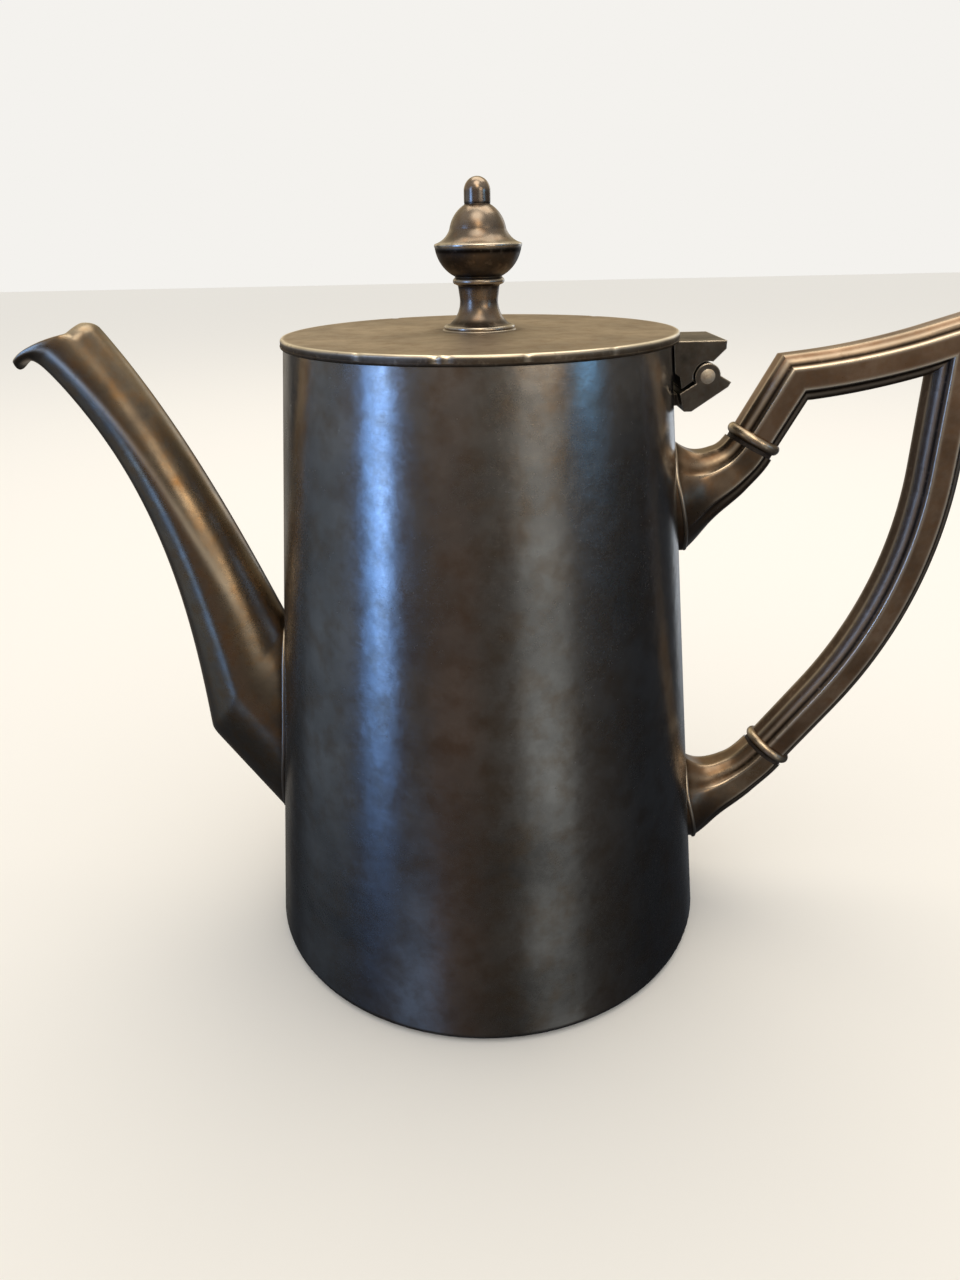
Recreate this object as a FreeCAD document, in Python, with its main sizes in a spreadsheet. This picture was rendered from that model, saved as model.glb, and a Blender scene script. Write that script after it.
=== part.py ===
import FreeCAD, Part
import math
import os
import re
import Sketcher

# Tall tapered serving pot of silver-plated metal, in millimetres.
# Z is up, the spout points to -X and the handle to +X; the origin is on the pot's axis at the table.

# Every driving size, with what it measures
SIZES = {
    # Tapered body
    "base_radius": 50.0,            # outside, at the table
    "top_radius": 36.6,             # outside, at the rim
    "body_height": 129.4,           # table to rim
    "body_wall": 1.4,
    "foot_round": 2.0,              # tangent length of the rounded foot edge
    "foot_ledge": 5.0,              # width of the ledge turned in under the body
    "base_thickness": 1.2,
    "base_rise": 2.5,               # how far the base plate is dished up
    "solder_gap": 0.05,             # film between soldered pieces
    # Strainer holes behind the spout
    "strainer_hole": 1.5,           # radius
    "strainer_pitch": 5.0,
    "strainer_height": 50.0,        # middle row above the table
    # Lid
    "lid_radius": 37.6,
    "lid_setback": 0.5,             # lid's centre behind the pot's axis, towards the hinge
    "lid_thickness": 1.8,
    "lid_crown": 0.25,              # rise of the lid's middle
    "lid_edge_round": 0.5,
    "lid_rest_gap": 0.05,           # between the lid and the rim it rests on
    "flange_depth": 3.5,
    "flange_wall": 1.2,
    "flange_swing_gap": 0.4,        # left between flange and mouth as the lid swings up
    "flange_seat": 1.5,             # flat of the lid inside the flange
    # Finial knob, each height measured from the feature below it
    "finial_foot_radius": 6.5,
    "finial_foot_height": 0.9,
    "finial_foot_step": 0.7,
    "finial_waist_radius": 3.6,
    "finial_waist_rise": 4.7,
    "finial_flare_bend": 62.0,
    "finial_neck_radius": 3.9,
    "finial_neck_rise": 2.25,
    "finial_collar_radius": 4.6,
    "finial_collar_width": 1.5,
    "finial_rim_radius": 8.0,
    "finial_cup_rise": 5.05,
    "finial_cup_bend": 58.0,
    "finial_rim_width": 0.6,
    "finial_sweep_radius": 5.2,
    "finial_sweep_rise": 2.4,
    "finial_sweep_bend": 55.0,
    "finial_bell_radius": 2.3,
    "finial_bell_rise": 4.1,
    "finial_bell_bend": 52.0,
    "finial_tip_radius": 2.4,
    "finial_tip_rise": 2.1,
    # Stud, washer and nut that hold the knob
    "stud_radius": 2.0,
    "stud_depth": 10.0,             # length screwed into the knob
    "stud_point": 0.6,              # end of the stud past the nut
    "stud_clearance": 0.15,         # in the lid and the washer
    "washer_radius": 5.0,
    "washer_thickness": 0.8,
    "nut_flats": 7.0,               # across flats
    "nut_height": 2.8,
    # Hinge
    "pin_drop": 6.3,                # pin below the rim
    "pin_standoff": 5.6,            # pin from the body wall
    "pin_radius": 1.2,
    "pin_head_radius": 1.35,
    "pin_head_height": 0.4,
    "running_clearance": 0.05,      # knuckle on its pin
    "ear_radius": 2.35,
    "hinge_width": 16.4,
    "hinge_gap": 0.4,               # between the two halves of the hinge
    "knuckle_width": 6.6,
    "lug_stop_angle": 45.0,         # slope of the lug's stop face, lid shut
    "lug_stop_offset": 1.35,        # stop face's distance from the pin's axis
    "lug_edge": 1.45,               # thickness of the lug's outer end under the lid
    "lug_foot_angle": 205.0,        # direction from the pin to the lug's lower tip
    "lug_cheek_angle": 195.0,       # where the hollow round the ears ends
    "knuckle_web_margin": 7.0,      # degrees that the knuckle's web stays inside the hollow's ends
    "lug_root": 2.0,                # lug's profile runs this far past the wall before it is trimmed
    "lug_root_rise": 1.5,
    "lid_travel": 75.0,             # degrees from shut to the stop
    "stop_gap": 0.1,
    "stop_reach": 4.4,
    "stop_thickness": 1.0,
    "neck_angle": 212.0,            # where the ear runs into the bracket's back
    "bracket_back": 5.0,
    "bracket_back_drop": 3.1,
    "heel_back": 4.0,
    "heel_drop": 6.4,
    "heel_length": 1.4,
    "stub_width": 10.0,
    "stub_drop": 3.6,
    "stub_height": 2.2,
    # Handle, drawn on its middle line
    "upper_ring_drop": 19.8,        # bead's centre below the rim
    "upper_ring_reach": 16.5,       # bead's centre from the body wall
    "upper_angle": 62.0,            # slope of the handle at the upper bead
    "upper_foot_drop": 30.5,        # middle of the socket's foot below the rim
    "lower_ring_height": 38.0,
    "lower_ring_reach": 20.1,
    "lower_angle": 54.0,
    "lower_foot_height": 25.0,
    "leg_length": 13.5,             # upper bead to the first corner
    "arm_run": 31.1,                # first corner to second corner
    "arm_rise": 6.5,
    "arm_bend": 13.0,               # turn of the arm between its corners
    "grip_bend_radius": 88.0,
    "handle_depth": 9.2,
    "handle_width": 9.0,
    "side_face_depth": 4.4,         # flat raised face on each side of the handle
    "side_step": 0.7,               # run of the cove beside the raised face
    "side_step_drop": 1.1,
    "edge_width": 3.6,              # flat inner and outer edges of the handle
    "cove_bend": 50.0,              # turn of the cove
    "shoulder_bend": 55.0,          # turn of the rounded shoulder between cove and edge
    # Handle joints
    "collar_radius": 5.7,
    "collar_width": 2.2,
    "collar_bead_bend": 170.0,      # turn of the bead's rounded edge
    "insulator_radius": 4.9,
    "insulator_thickness": 0.8,
    "sleeve_setback": 1.0,          # sleeve ends this far short of the tenon
    "sleeve_wall": 0.8,
    "tenon_radius": 2.6,
    "tenon_depth": 8.0,             # inside the socket
    "joint_clearance": 0.05,
    "handle_pin_radius": 0.8,
    "handle_pin_depth": 4.0,        # below the socket's face
    "handle_pin_bite": 0.45,        # pin's blind end past the sleeve
    "handle_pin_recess": 0.4,       # pin's other end below the socket's side
    # Sockets, from the face at the bead to the foot on the body
    "socket_face_depth": 10.0,
    "socket_face_width": 9.4,
    "socket_throat_depth": 11.2,
    "socket_throat_width": 9.8,
    "socket_throat_share": 0.62,    # place on the middle line, 0 at the foot and 1 at the face
    "socket_throat_turn": 0.45,     # share of the slope's change reached there
    "socket_flare_depth": 17.5,
    "socket_flare_width": 13.5,
    "socket_flare_share": 0.22,
    "socket_foot_depth": 26.0,
    "socket_foot_width": 19.5,
    "socket_foot_angle": 14.0,      # rise of the socket's middle line where it leaves the body
    "socket_root": 1.0,             # foot's section starts this far inside the wall's face
    # Spout, outlines in the pot's middle plane
    "spout_wall": 1.3,
    "spout_top_height": 72.0,       # upper outline leaves the body
    "spout_top_angle": 111.0,
    "spout_top_pull": 22.0,
    "spout_peak_reach": 30.2,       # mouth's highest point from the wall at spout_top_height
    "spout_peak_height": 134.2,
    "spout_peak_angle": 127.0,
    "spout_peak_pull": 22.0,
    "keel_reach": 20.0,             # keel's corner from the wall at spout_top_height
    "keel_height": 45.5,
    "keel_angle": 91.0,
    "keel_pull": 30.0,
    "lip_reach": 41.5,              # where the lower outline turns over into the lip
    "lip_height": 128.7,
    "lip_angle": 130.0,
    "lip_pull": 30.0,
    "lip_length": 5.6,
    "lip_curl": 2.7,                # how far the lip's end turns down
    "spout_root_depth": 12.0,       # upper outline's hidden run inside the wall
    "spout_root_drop": 14.0,
    "keel_root_depth": 4.0,         # keel's hidden run inside the wall
    "keel_root_drop": 28.0,
    "spout_root_half_width": 10.5,
    "spout_mouth_half_width": 5.9,
    "lip_half_width": 3.4,
    "spout_taper_power": 1.7,
    "keel_sharpness": 0.75,         # 0 is a round section, 1 a straight-sided keel
    "rim_dip_height": 130.2,        # rim of the mouth where it runs into the lip
    "rim_dip_reach": 40.6,
    "lip_rim_height": 1.5,          # rim above the lip's underside at its end
}

PART_NAME = "serving_pot"
STRAINER_ROWS = (2, 3, 2, 3, 2)     # holes in each row, from the lowest
SPOUT_STATIONS = 6
SECTION_POINTS = 16                 # points round each spout section
LIP_OVERRUN = 1.25                  # the spout's hollow runs past the lip's end by this share of the lip

doc = FreeCAD.newDocument(PART_NAME)
sheet = doc.addObject("Spreadsheet::Sheet", "sizes")
for row, (alias, number) in enumerate(SIZES.items(), start=1):
    sheet.set(f"A{row}", alias)
    sheet.set(f"B{row}", str(number))
    sheet.setAlias(f"B{row}", alias)
doc.recompute()


def formula(text):
    """Expression of the document for a text that uses the sizes' plain names."""
    return re.sub(r"[a-z]\w*", lambda word: f"sizes.{word[0]}" if word[0] in SIZES else word[0], str(text))


def value(text):
    """Number that such a text gives now."""
    return float(sheet.evalExpression(formula(text)))


def wall_radius(height):
    """Outside radius of the tapered body at a height."""
    return f"(base_radius - (base_radius - top_radius) * ({height}) / body_height)"


def arc_tangent(slope):
    """Angle of a slope, as a plain number of degrees."""
    return f"(atan({slope}) / (1 deg))"


def arc_sine(ratio):
    """Angle of a sine, as a plain number of degrees."""
    return f"(asin({ratio}) / (1 deg))"


TAPER = arc_tangent("(base_radius - top_radius) / body_height")


def along(start, angle, distance):
    """Point at a distance from a start, in a direction of the middle plane."""
    return f"({start[0]} + ({distance}) * cos({angle}))", f"({start[1]} + ({distance}) * sin({angle}))"


# Sketches and features


def piece(name):
    """Empty body for one piece."""
    body = doc.addObject("PartDesign::Body", name)
    body.Label = name
    return body


def sketch_on(body, plane, name):
    """Sketch on one of the body's own origin planes."""
    sketch = body.newObject("Sketcher::SketchObject", name)
    support = [feature for feature in body.Origin.OriginFeatures if feature.Role == plane]
    sketch.AttachmentSupport = [(support[0], "")]
    sketch.MapMode = "FlatFace"
    return sketch


def sketch_across(body, name, centre, angle):
    """Sketch square to a direction of the middle plane; its x runs in that plane and its y along Y."""
    sketch = sketch_on(body, "XY_Plane", name)
    turn = FreeCAD.Rotation(FreeCAD.Vector(0, 1, 0), 90 - value(angle))
    sketch.AttachmentOffset = FreeCAD.Placement(FreeCAD.Vector(value(centre[0]), 0, value(centre[1])), turn)
    sketch.setExpression("AttachmentOffset.Base.x", formula(centre[0]))
    sketch.setExpression("AttachmentOffset.Base.z", formula(centre[1]))
    sketch.setExpression("AttachmentOffset.Rotation.Angle", formula(f"90 - ({angle})"))
    return sketch


def hold(sketch, edge, end, place):
    """Tie one end of an edge to its place, measured from the sketch's origin."""
    for kind, axis, text in (("DistanceX", -2, place[0]), ("DistanceY", -1, place[1])):
        if text == "0":
            sketch.addConstraint(Sketcher.Constraint("PointOnObject", edge, end, axis))
        else:
            number = sketch.addConstraint(Sketcher.Constraint(kind, -1, 1, edge, end, value(text)))
            sketch.setExpression(f"Constraints[{number}]", formula(text))


def outline(sketch, corners, bends=None, closed=True):
    """Outline through the corners.

    An edge listed in bends is an arc that turns by that many degrees, to the left where positive.
    """
    bends = bends or {}
    count = len(corners)
    places = [FreeCAD.Vector(value(x), value(y), 0) for x, y in corners]
    ends = []
    for index in range(count if closed else count - 1):
        follower = (index + 1) % count
        start, stop = places[index], places[follower]
        if index not in bends:
            edge = sketch.addGeometry(Part.LineSegment(start, stop))
            ends.append((edge, 1, 2))
            continue
        bend = value(bends[index])
        chord = stop - start
        side = FreeCAD.Vector(chord.y, -chord.x, 0) * (math.tan(math.radians(bend) / 4) / 2)
        middle = (start + stop) * 0.5 + side
        if bend > 0:
            edge = sketch.addGeometry(Part.Arc(start, middle, stop))
            ends.append((edge, 1, 2))
        else:
            edge = sketch.addGeometry(Part.Arc(stop, middle, start))
            ends.append((edge, 2, 1))
        (x_1, y_1), (x_2, y_2) = corners[index], corners[follower]
        span = f"sqrt((({x_2}) - ({x_1}))^2 + (({y_2}) - ({y_1}))^2)"
        radius = f"{span} / (2 * sin(abs({bends[index]}) / 2))"
        number = sketch.addConstraint(Sketcher.Constraint("Radius", edge, value(radius)))
        sketch.setExpression(f"Constraints[{number}]", formula(radius))
    for index, (edge, first, last) in enumerate(ends):
        hold(sketch, edge, first, corners[index])
        if closed or index + 1 < len(ends):
            next_edge, next_first, _ = ends[(index + 1) % len(ends)]
            sketch.addConstraint(Sketcher.Constraint("Coincident", edge, last, next_edge, next_first))
        else:
            hold(sketch, edge, last, corners[-1])
    return sketch


def circle(sketch, centre, radius):
    """Circle with its centre and radius tied to the sizes."""
    place = FreeCAD.Vector(value(centre[0]), value(centre[1]), 0)
    edge = sketch.addGeometry(Part.Circle(place, FreeCAD.Vector(0, 0, 1), value(radius)))
    hold(sketch, edge, 3, centre)
    number = sketch.addConstraint(Sketcher.Constraint("Radius", edge, value(radius)))
    sketch.setExpression(f"Constraints[{number}]", formula(radius))
    return sketch


def feature(body, kind, name, sketch, **settings):
    """Feature made from a sketch; a text setting is bound to the sizes."""
    made = body.newObject(f"PartDesign::{kind}", name)
    made.Profile = sketch
    if kind in ("Revolution", "Groove"):
        made.ReferenceAxis = (sketch, ["V_Axis"])
        made.Angle = 360
    for key, setting in settings.items():
        if key in ("Length", "Length2"):
            made.setExpression(key, formula(setting))
        else:
            setattr(made, key, setting)
    return made


def turned(name, corners, bends=None):
    """Piece turned about its own Z axis from a half outline of radii and heights."""
    body = piece(name)
    half = outline(sketch_on(body, "XZ_Plane", f"{name}_half"), corners, bends)
    feature(body, "Revolution", f"{name}_turn", half)
    return body


def place_at(body, x="0", z="0", angle=None):
    """Move a piece in the middle plane; with an angle, its own Z axis points that way."""
    body.setExpression("Placement.Base.x", formula(x))
    body.setExpression("Placement.Base.z", formula(z))
    if angle is not None:
        body.Placement.Rotation = FreeCAD.Rotation(FreeCAD.Vector(0, 1, 0), 90 - value(angle))
        body.setExpression("Placement.Rotation.Angle", formula(f"90 - ({angle})"))
    return body


def trim_to_body(body, low, high, gap="0"):
    """Cut away whatever lies inside the pot's tapered outside, between two heights."""
    corners = [
        ("0", low),
        (f"{wall_radius(low)} + {gap}", low),
        (f"{wall_radius(high)} + {gap}", high),
        ("0", high),
    ]
    sketch = outline(sketch_on(body, "XZ_Plane", f"{body.Name}_wall"), corners)
    return feature(body, "Groove", f"{body.Name}_fit", sketch)


def cut_across(body, name, centre, radius, near=None):
    """Round hole along Y, right through or from a blind near end to the far side."""
    sketch = circle(sketch_on(body, "XZ_Plane", f"{name}_circle"), centre, radius)
    if near is None:
        return feature(body, "Pocket", name, sketch, Type="ThroughAll", SideType="Symmetric")
    sketch.setExpression("AttachmentOffset.Base.z", formula(near))
    return feature(body, "Pocket", name, sketch, Type="ThroughAll")


# Body and base


def make_body_shell():
    """Tapered shell, open at the mouth, with a rounded foot edge turned in to a narrow ledge."""
    ledge_edge = "base_radius - foot_ledge"
    corners = [
        (ledge_edge, "0"),
        ("base_radius - foot_round", "0"),
        (f"base_radius - foot_round * sin{TAPER}", f"foot_round * cos{TAPER}"),
        ("top_radius", "body_height"),
        ("top_radius - body_wall", "body_height"),
        (f"{wall_radius('body_wall')} - body_wall", "body_wall"),
        (ledge_edge, "body_wall"),
    ]
    body = turned("body_shell", corners, {1: f"90 + {TAPER}"})
    holes = sketch_on(body, "YZ_Plane", "strainer_circles")
    row_height = "strainer_pitch * sin(60)"
    for row, count in enumerate(STRAINER_ROWS):
        up = f"strainer_height + {row - len(STRAINER_ROWS) // 2} * {row_height}"
        for column in range(count):
            shift = column - (count - 1) / 2
            across = "0" if shift == 0 else f"strainer_pitch * {shift}"
            circle(holes, (across, up), "strainer_hole")
    feature(body, "Pocket", "strainer", holes, Type="ThroughAll")


def make_base_plate():
    """Disc dished up in the middle, resting on the ledge inside the foot."""
    seat = "base_radius - foot_ledge"
    edge = f"{wall_radius('body_wall + base_thickness')} - body_wall - solder_gap"
    bend = f"2 * {arc_tangent(f'base_rise / ({seat})')}"
    corners = [
        ("0", "body_wall + base_rise"),
        (seat, "body_wall"),
        (edge, "body_wall"),
        (edge, "body_wall + base_thickness"),
        (seat, "body_wall + base_thickness"),
        ("0", "body_wall + base_thickness + base_rise"),
    ]
    turned("base_plate", corners, {0: f"-{bend}", 4: bend})


# Lid and finial

PIN_HEIGHT = "(body_height - pin_drop)"
PIN = (f"({wall_radius(PIN_HEIGHT)} + pin_standoff)", PIN_HEIGHT)
LID_BOTTOM = "body_height + lid_rest_gap"
FINIAL_SEAT = f"{LID_BOTTOM} + lid_thickness + lid_crown"
# As the lid swings up, the flange's lower edge passes the mouth's edge at the swing gap
MOUTH_REACH = f"({PIN[0]} - top_radius + body_wall + flange_swing_gap)"
FLANGE_REACH = f"sqrt({MOUTH_REACH}^2 + pin_drop^2 - (pin_drop - flange_depth)^2)"
FLANGE_OUTSIDE = f"({PIN[0]} - {FLANGE_REACH})"


def make_lid_plate():
    """Crowned disc with a flat rim below and a flat seat for the finial in the middle."""
    hole = "stud_radius + stud_clearance"
    flat = f"{FLANGE_OUTSIDE} - flange_wall - flange_seat"
    crown_run = f"({flat} - finial_foot_radius)"
    crown_bend = f"2 * {arc_tangent(f'lid_crown / {crown_run}')}"
    top_edge = "lid_radius - lid_edge_round"
    top_bend = f"2 * {arc_tangent(f'lid_crown / ({top_edge} - finial_foot_radius)')}"
    corners = [
        (hole, "lid_crown"),
        ("finial_foot_radius", "lid_crown"),
        (flat, "0"),
        ("lid_radius", "0"),
        ("lid_radius", "lid_thickness - lid_edge_round"),
        (top_edge, "lid_thickness"),
        ("finial_foot_radius", "lid_thickness + lid_crown"),
        (hole, "lid_thickness + lid_crown"),
    ]
    body = turned("lid_plate", corners, {1: f"-{crown_bend}", 4: "90", 5: top_bend})
    place_at(body, "lid_setback", LID_BOTTOM)


def make_lid_flange():
    """Ring under the lid that drops into the mouth."""
    inside = f"{FLANGE_OUTSIDE} - flange_wall"
    corners = [
        (inside, "-flange_depth"),
        (FLANGE_OUTSIDE, "-flange_depth"),
        (FLANGE_OUTSIDE, "0"),
        (inside, "0"),
    ]
    place_at(turned("lid_flange", corners), z=LID_BOTTOM)


def make_finial():
    """Turned knob with a blind bore, the stud in it, and the washer and nut under the lid."""
    waist = "finial_foot_height + finial_waist_rise"
    collar_low = f"{waist} + finial_neck_rise"
    collar_high = f"{collar_low} + finial_collar_width"
    rim_low = f"{collar_high} + finial_cup_rise"
    rim_high = f"{rim_low} + finial_rim_width"
    sweep = f"{rim_high} + finial_sweep_rise"
    bell = f"{sweep} + finial_bell_rise"
    tip = f"{bell} + finial_tip_rise"
    corners = [
        ("stud_radius", "0"),
        ("finial_foot_radius", "0"),
        ("finial_foot_radius", "finial_foot_height"),
        ("finial_foot_radius - finial_foot_step", "finial_foot_height"),
        ("finial_waist_radius", waist),
        ("finial_neck_radius", collar_low),
        ("finial_collar_radius", collar_low),
        ("finial_collar_radius", collar_high),
        ("finial_rim_radius", rim_low),
        ("finial_rim_radius", rim_high),
        ("finial_sweep_radius", sweep),
        ("finial_bell_radius", bell),
        ("finial_tip_radius", bell),
        ("finial_tip_radius", tip),
        ("0", f"{tip} + finial_tip_radius"),
        ("0", "stud_depth"),
        ("stud_radius", "stud_depth"),
    ]
    bends = {
        3: "-finial_flare_bend",
        7: "finial_cup_bend",
        9: "-finial_sweep_bend",
        10: "finial_bell_bend",
        13: "90",
    }
    place_at(turned("finial_knob", corners, bends), "lid_setback", FINIAL_SEAT)

    grip = "lid_thickness + washer_thickness + nut_height"
    stud = turned("finial_stud", [
        ("0", f"-({grip} + stud_point)"),
        ("stud_radius", f"-({grip} + stud_point)"),
        ("stud_radius", "stud_depth"),
        ("0", "stud_depth"),
    ])
    place_at(stud, "lid_setback", FINIAL_SEAT)

    hole = "stud_radius + stud_clearance"
    washer = turned("finial_washer", [
        (hole, "-washer_thickness"),
        ("washer_radius", "-washer_thickness"),
        ("washer_radius", "0"),
        (hole, "0"),
    ])
    place_at(washer, "lid_setback", f"{FINIAL_SEAT} - lid_thickness")

    nut = piece("finial_nut")
    hexagon = sketch_on(nut, "XY_Plane", "nut_hexagon")
    outline(hexagon, [along(("0", "0"), 60 * corner, "nut_flats / (2 * cos(30))") for corner in range(6)])
    circle(hexagon, ("0", "0"), "stud_radius")
    feature(nut, "Pad", "nut_pad", hexagon, Length="nut_height")
    place_at(nut, "lid_setback", f"{FINIAL_SEAT} - lid_thickness - washer_thickness - nut_height")


# Hinge

LUG_BORE = "(ear_radius + hinge_gap)"
KNUCKLE_SLOT = "(knuckle_width + 2 * hinge_gap)"


def stop_point(angle, reach, offset="lug_stop_offset"):
    """Point of a stop face: a line at an angle that passes the pin at an offset on its left."""
    foot = along(PIN, f"({angle}) + 90", offset)
    return along(foot, angle, reach)


def arc_reach(radius, offset="lug_stop_offset"):
    """Distance along the stop face at which it meets a circle round the pin."""
    return f"sqrt(({radius})^2 - ({offset})^2)"


def make_hinge_bracket():
    """Clevis on the body: two round ears, a stop tip below them and a stub soldered to the wall."""
    body = piece("hinge_bracket")
    slope = "(lug_stop_angle - lid_travel)"
    face = "(lug_stop_offset - stop_gap)"
    ear_turn = f"neck_angle - ({slope} + {arc_sine(f'{face} / ear_radius')})"
    corners = [
        stop_point(slope, "stop_reach", face),
        stop_point(slope, arc_reach("ear_radius", face), face),
        along(PIN, "neck_angle", "ear_radius"),
        (f"{PIN[0]} - bracket_back", f"{PIN[1]} - bracket_back_drop"),
        (f"{PIN[0]} - heel_back", f"{PIN[1]} - heel_drop"),
        (f"{PIN[0]} - heel_back + heel_length", f"{PIN[1]} - heel_drop"),
        stop_point(slope, "stop_reach", f"{face} - stop_thickness"),
    ]
    profile = outline(sketch_on(body, "XZ_Plane", "bracket_profile"), corners, {1: ear_turn})
    feature(body, "Pad", "bracket_pad", profile, SideType="Symmetric", Length="hinge_width")

    top = f"{PIN[1]} - stub_drop"
    bottom = f"{top} - stub_height"
    inside = f"{wall_radius(PIN_HEIGHT)} - body_wall"
    outside = f"{PIN[0]} - heel_back + heel_length / 2"
    stub = outline(sketch_on(body, "XZ_Plane", "stub_profile"),
                   [(inside, bottom), (outside, bottom), (outside, top), (inside, top)])
    feature(body, "Pad", "stub_pad", stub, SideType="Symmetric", Length="stub_width")

    slot = circle(sketch_on(body, "XZ_Plane", "knuckle_circle"), PIN, LUG_BORE)
    feature(body, "Pocket", "knuckle_slot", slot, SideType="Symmetric", Length=KNUCKLE_SLOT)
    cut_across(body, "pin_hole", PIN, "pin_radius")
    trim_to_body(body, f"{PIN[1]} - 2 * heel_drop", PIN[1])


def make_hinge_pin():
    """Pin along Y through both ears, with a peened head at each end."""
    half = "hinge_width / 2"
    tip = f"({half} + pin_head_height)"
    corners = [
        ("0", f"-{tip}"),
        ("pin_head_radius", f"-{half}"),
        ("pin_radius", f"-{half}"),
        ("pin_radius", half),
        ("pin_head_radius", half),
        ("0", tip),
    ]
    dome = f"2 * {arc_tangent('pin_head_height / pin_head_radius')}"
    body = turned("hinge_pin", corners, {0: dome, 4: dome})
    place_at(body, *PIN)
    body.Placement.Rotation = FreeCAD.Rotation(FreeCAD.Vector(1, 0, 0), 90)


def make_lid_hinge_lug():
    """Block under the lid's rim, hollowed round the ears, with the middle knuckle on the pin."""
    body = piece("lid_hinge_lug")
    swing = "(pin_standoff - hinge_gap)"
    cheek_end = f"(lug_stop_angle + {arc_sine(f'lug_stop_offset / {LUG_BORE}')})"
    tip_rise = "(pin_drop + lid_rest_gap - lug_edge)"
    tip_reach = f"({tip_rise} - lug_stop_offset * cos(lug_stop_angle)) / sin(lug_stop_angle)"
    tip = stop_point("lug_stop_angle", tip_reach)
    corners = [
        tip,
        (tip[0], LID_BOTTOM),
        ("top_radius - lug_root", LID_BOTTOM),
        (f"{wall_radius(PIN_HEIGHT)} - lug_root", f"{PIN[1]} + lug_root_rise"),
        (f"{PIN[0]} - {swing}", PIN[1]),
        along(PIN, "lug_foot_angle", swing),
        along(PIN, "lug_cheek_angle", LUG_BORE),
        stop_point("lug_stop_angle", arc_reach(LUG_BORE)),
    ]
    profile = outline(sketch_on(body, "XZ_Plane", "lug_profile"), corners,
                      {6: f"{cheek_end} - lug_cheek_angle"})
    feature(body, "Pad", "lug_pad", profile, SideType="Symmetric", Length="hinge_width")

    overlap = f"({LUG_BORE} + hinge_gap)"
    web_start = f"({cheek_end} + knuckle_web_margin)"
    web_end = "(lug_cheek_angle - knuckle_web_margin)"
    knuckle = outline(sketch_on(body, "XZ_Plane", "knuckle_profile"), [
        along(PIN, cheek_end, "ear_radius"),
        along(PIN, web_start, overlap),
        along(PIN, web_end, overlap),
        along(PIN, web_end, "ear_radius"),
    ], {1: f"{web_end} - {web_start}", 3: f"360 + {cheek_end} - {web_end}"})
    feature(body, "Pad", "knuckle_pad", knuckle, SideType="Symmetric", Length="knuckle_width")
    cut_across(body, "knuckle_bore", PIN, "pin_radius + running_clearance")
    trim_to_body(body, f"{PIN[1]} - heel_drop", "body_height + lid_thickness", "hinge_gap")


# Handle

HALF_COLLAR = "(collar_width / 2)"
FACE_SETBACK = f"({HALF_COLLAR} + insulator_thickness)"
SLEEVE_RADIUS = "(tenon_radius + joint_clearance + sleeve_wall)"


class HandleEnd:
    """Where the handle meets one socket: bead, socket face and foot, in the middle plane."""

    def __init__(self, name, height, foot_height):
        self.name = name
        self.angle = f"{name}_angle"
        self.ring = (f"({wall_radius(height)} + {name}_ring_reach)", height)
        self.face = along(self.ring, self.angle, f"-{FACE_SETBACK}")
        self.shoulder = along(self.ring, self.angle, HALF_COLLAR)
        self.cross_pin = along(self.face, self.angle, "-handle_pin_depth")
        self.foot_height = foot_height
        self.foot = (wall_radius(self.foot_height), self.foot_height)


UPPER = HandleEnd("upper", "(body_height - upper_ring_drop)", "(body_height - upper_foot_drop)")
LOWER = HandleEnd("lower", "lower_ring_height", "lower_foot_height")


def moulded_section(sketch, depth, width):
    """Handle's section: narrow edges, rounded shoulders, and a flat raised face between two coves on each side."""
    half, edge = f"({depth}) / 2", "edge_width / 2"
    face, side = "side_face_depth / 2", f"({width}) / 2"
    cove, floor = f"({face} + side_step)", f"({side} - side_step_drop)"
    lower_side = [
        (f"-{half}", f"-{edge}"),
        (f"-{cove}", f"-{floor}"),
        (f"-{face}", f"-{side}"),
        (face, f"-{side}"),
        (cove, f"-{floor}"),
        (half, f"-{edge}"),
    ]
    upper_side = [
        (half, edge),
        (cove, floor),
        (face, side),
        (f"-{face}", side),
        (f"-{cove}", floor),
        (f"-{half}", edge),
    ]
    shoulder, hollow = "shoulder_bend", "-cove_bend"
    return outline(sketch, lower_side + upper_side, {
        0: shoulder, 1: hollow, 3: hollow, 4: shoulder, 6: shoulder, 7: hollow, 9: hollow, 10: shoulder})


def make_handle_grip():
    """Cast handle: one moulded section along a mitred path, with a round tenon at each end."""
    body = piece("handle_grip")
    first = along(UPPER.ring, UPPER.angle, "leg_length")
    second = (f"({first[0]} + arm_run)", f"({first[1]} + arm_rise)")
    turn = f"(90 - {LOWER.angle})"
    tail = f"(({second[0]} - {LOWER.ring[0]} - grip_bend_radius * (1 - cos{turn})) / cos({LOWER.angle}))"
    bend_end = along(LOWER.ring, LOWER.angle, tail)
    bend_start = (second[0], f"({bend_end[1]} + grip_bend_radius * sin{turn})")
    path = outline(sketch_on(body, "XZ_Plane", "handle_path"),
                   [UPPER.shoulder, first, second, bend_start, bend_end, LOWER.shoulder],
                   {1: "arm_bend", 3: f"-{turn}"}, closed=False)
    section = sketch_across(body, "handle_section", UPPER.shoulder, UPPER.angle)
    moulded_section(section, "handle_depth", "handle_width")
    feature(body, "AdditivePipe", "handle_sweep", section, Spine=path, Transition="Right corner")
    for end in (UPPER, LOWER):
        root = sketch_across(body, f"{end.name}_tenon_circle", end.shoulder, end.angle)
        circle(root, ("0", "0"), "tenon_radius")
        feature(body, "Pad", f"{end.name}_tenon", root, Reversed=True,
                Length="collar_width + insulator_thickness + tenon_depth")
        cut_across(body, f"{end.name}_tenon_hole", end.cross_pin, "handle_pin_radius + joint_clearance")


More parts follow.
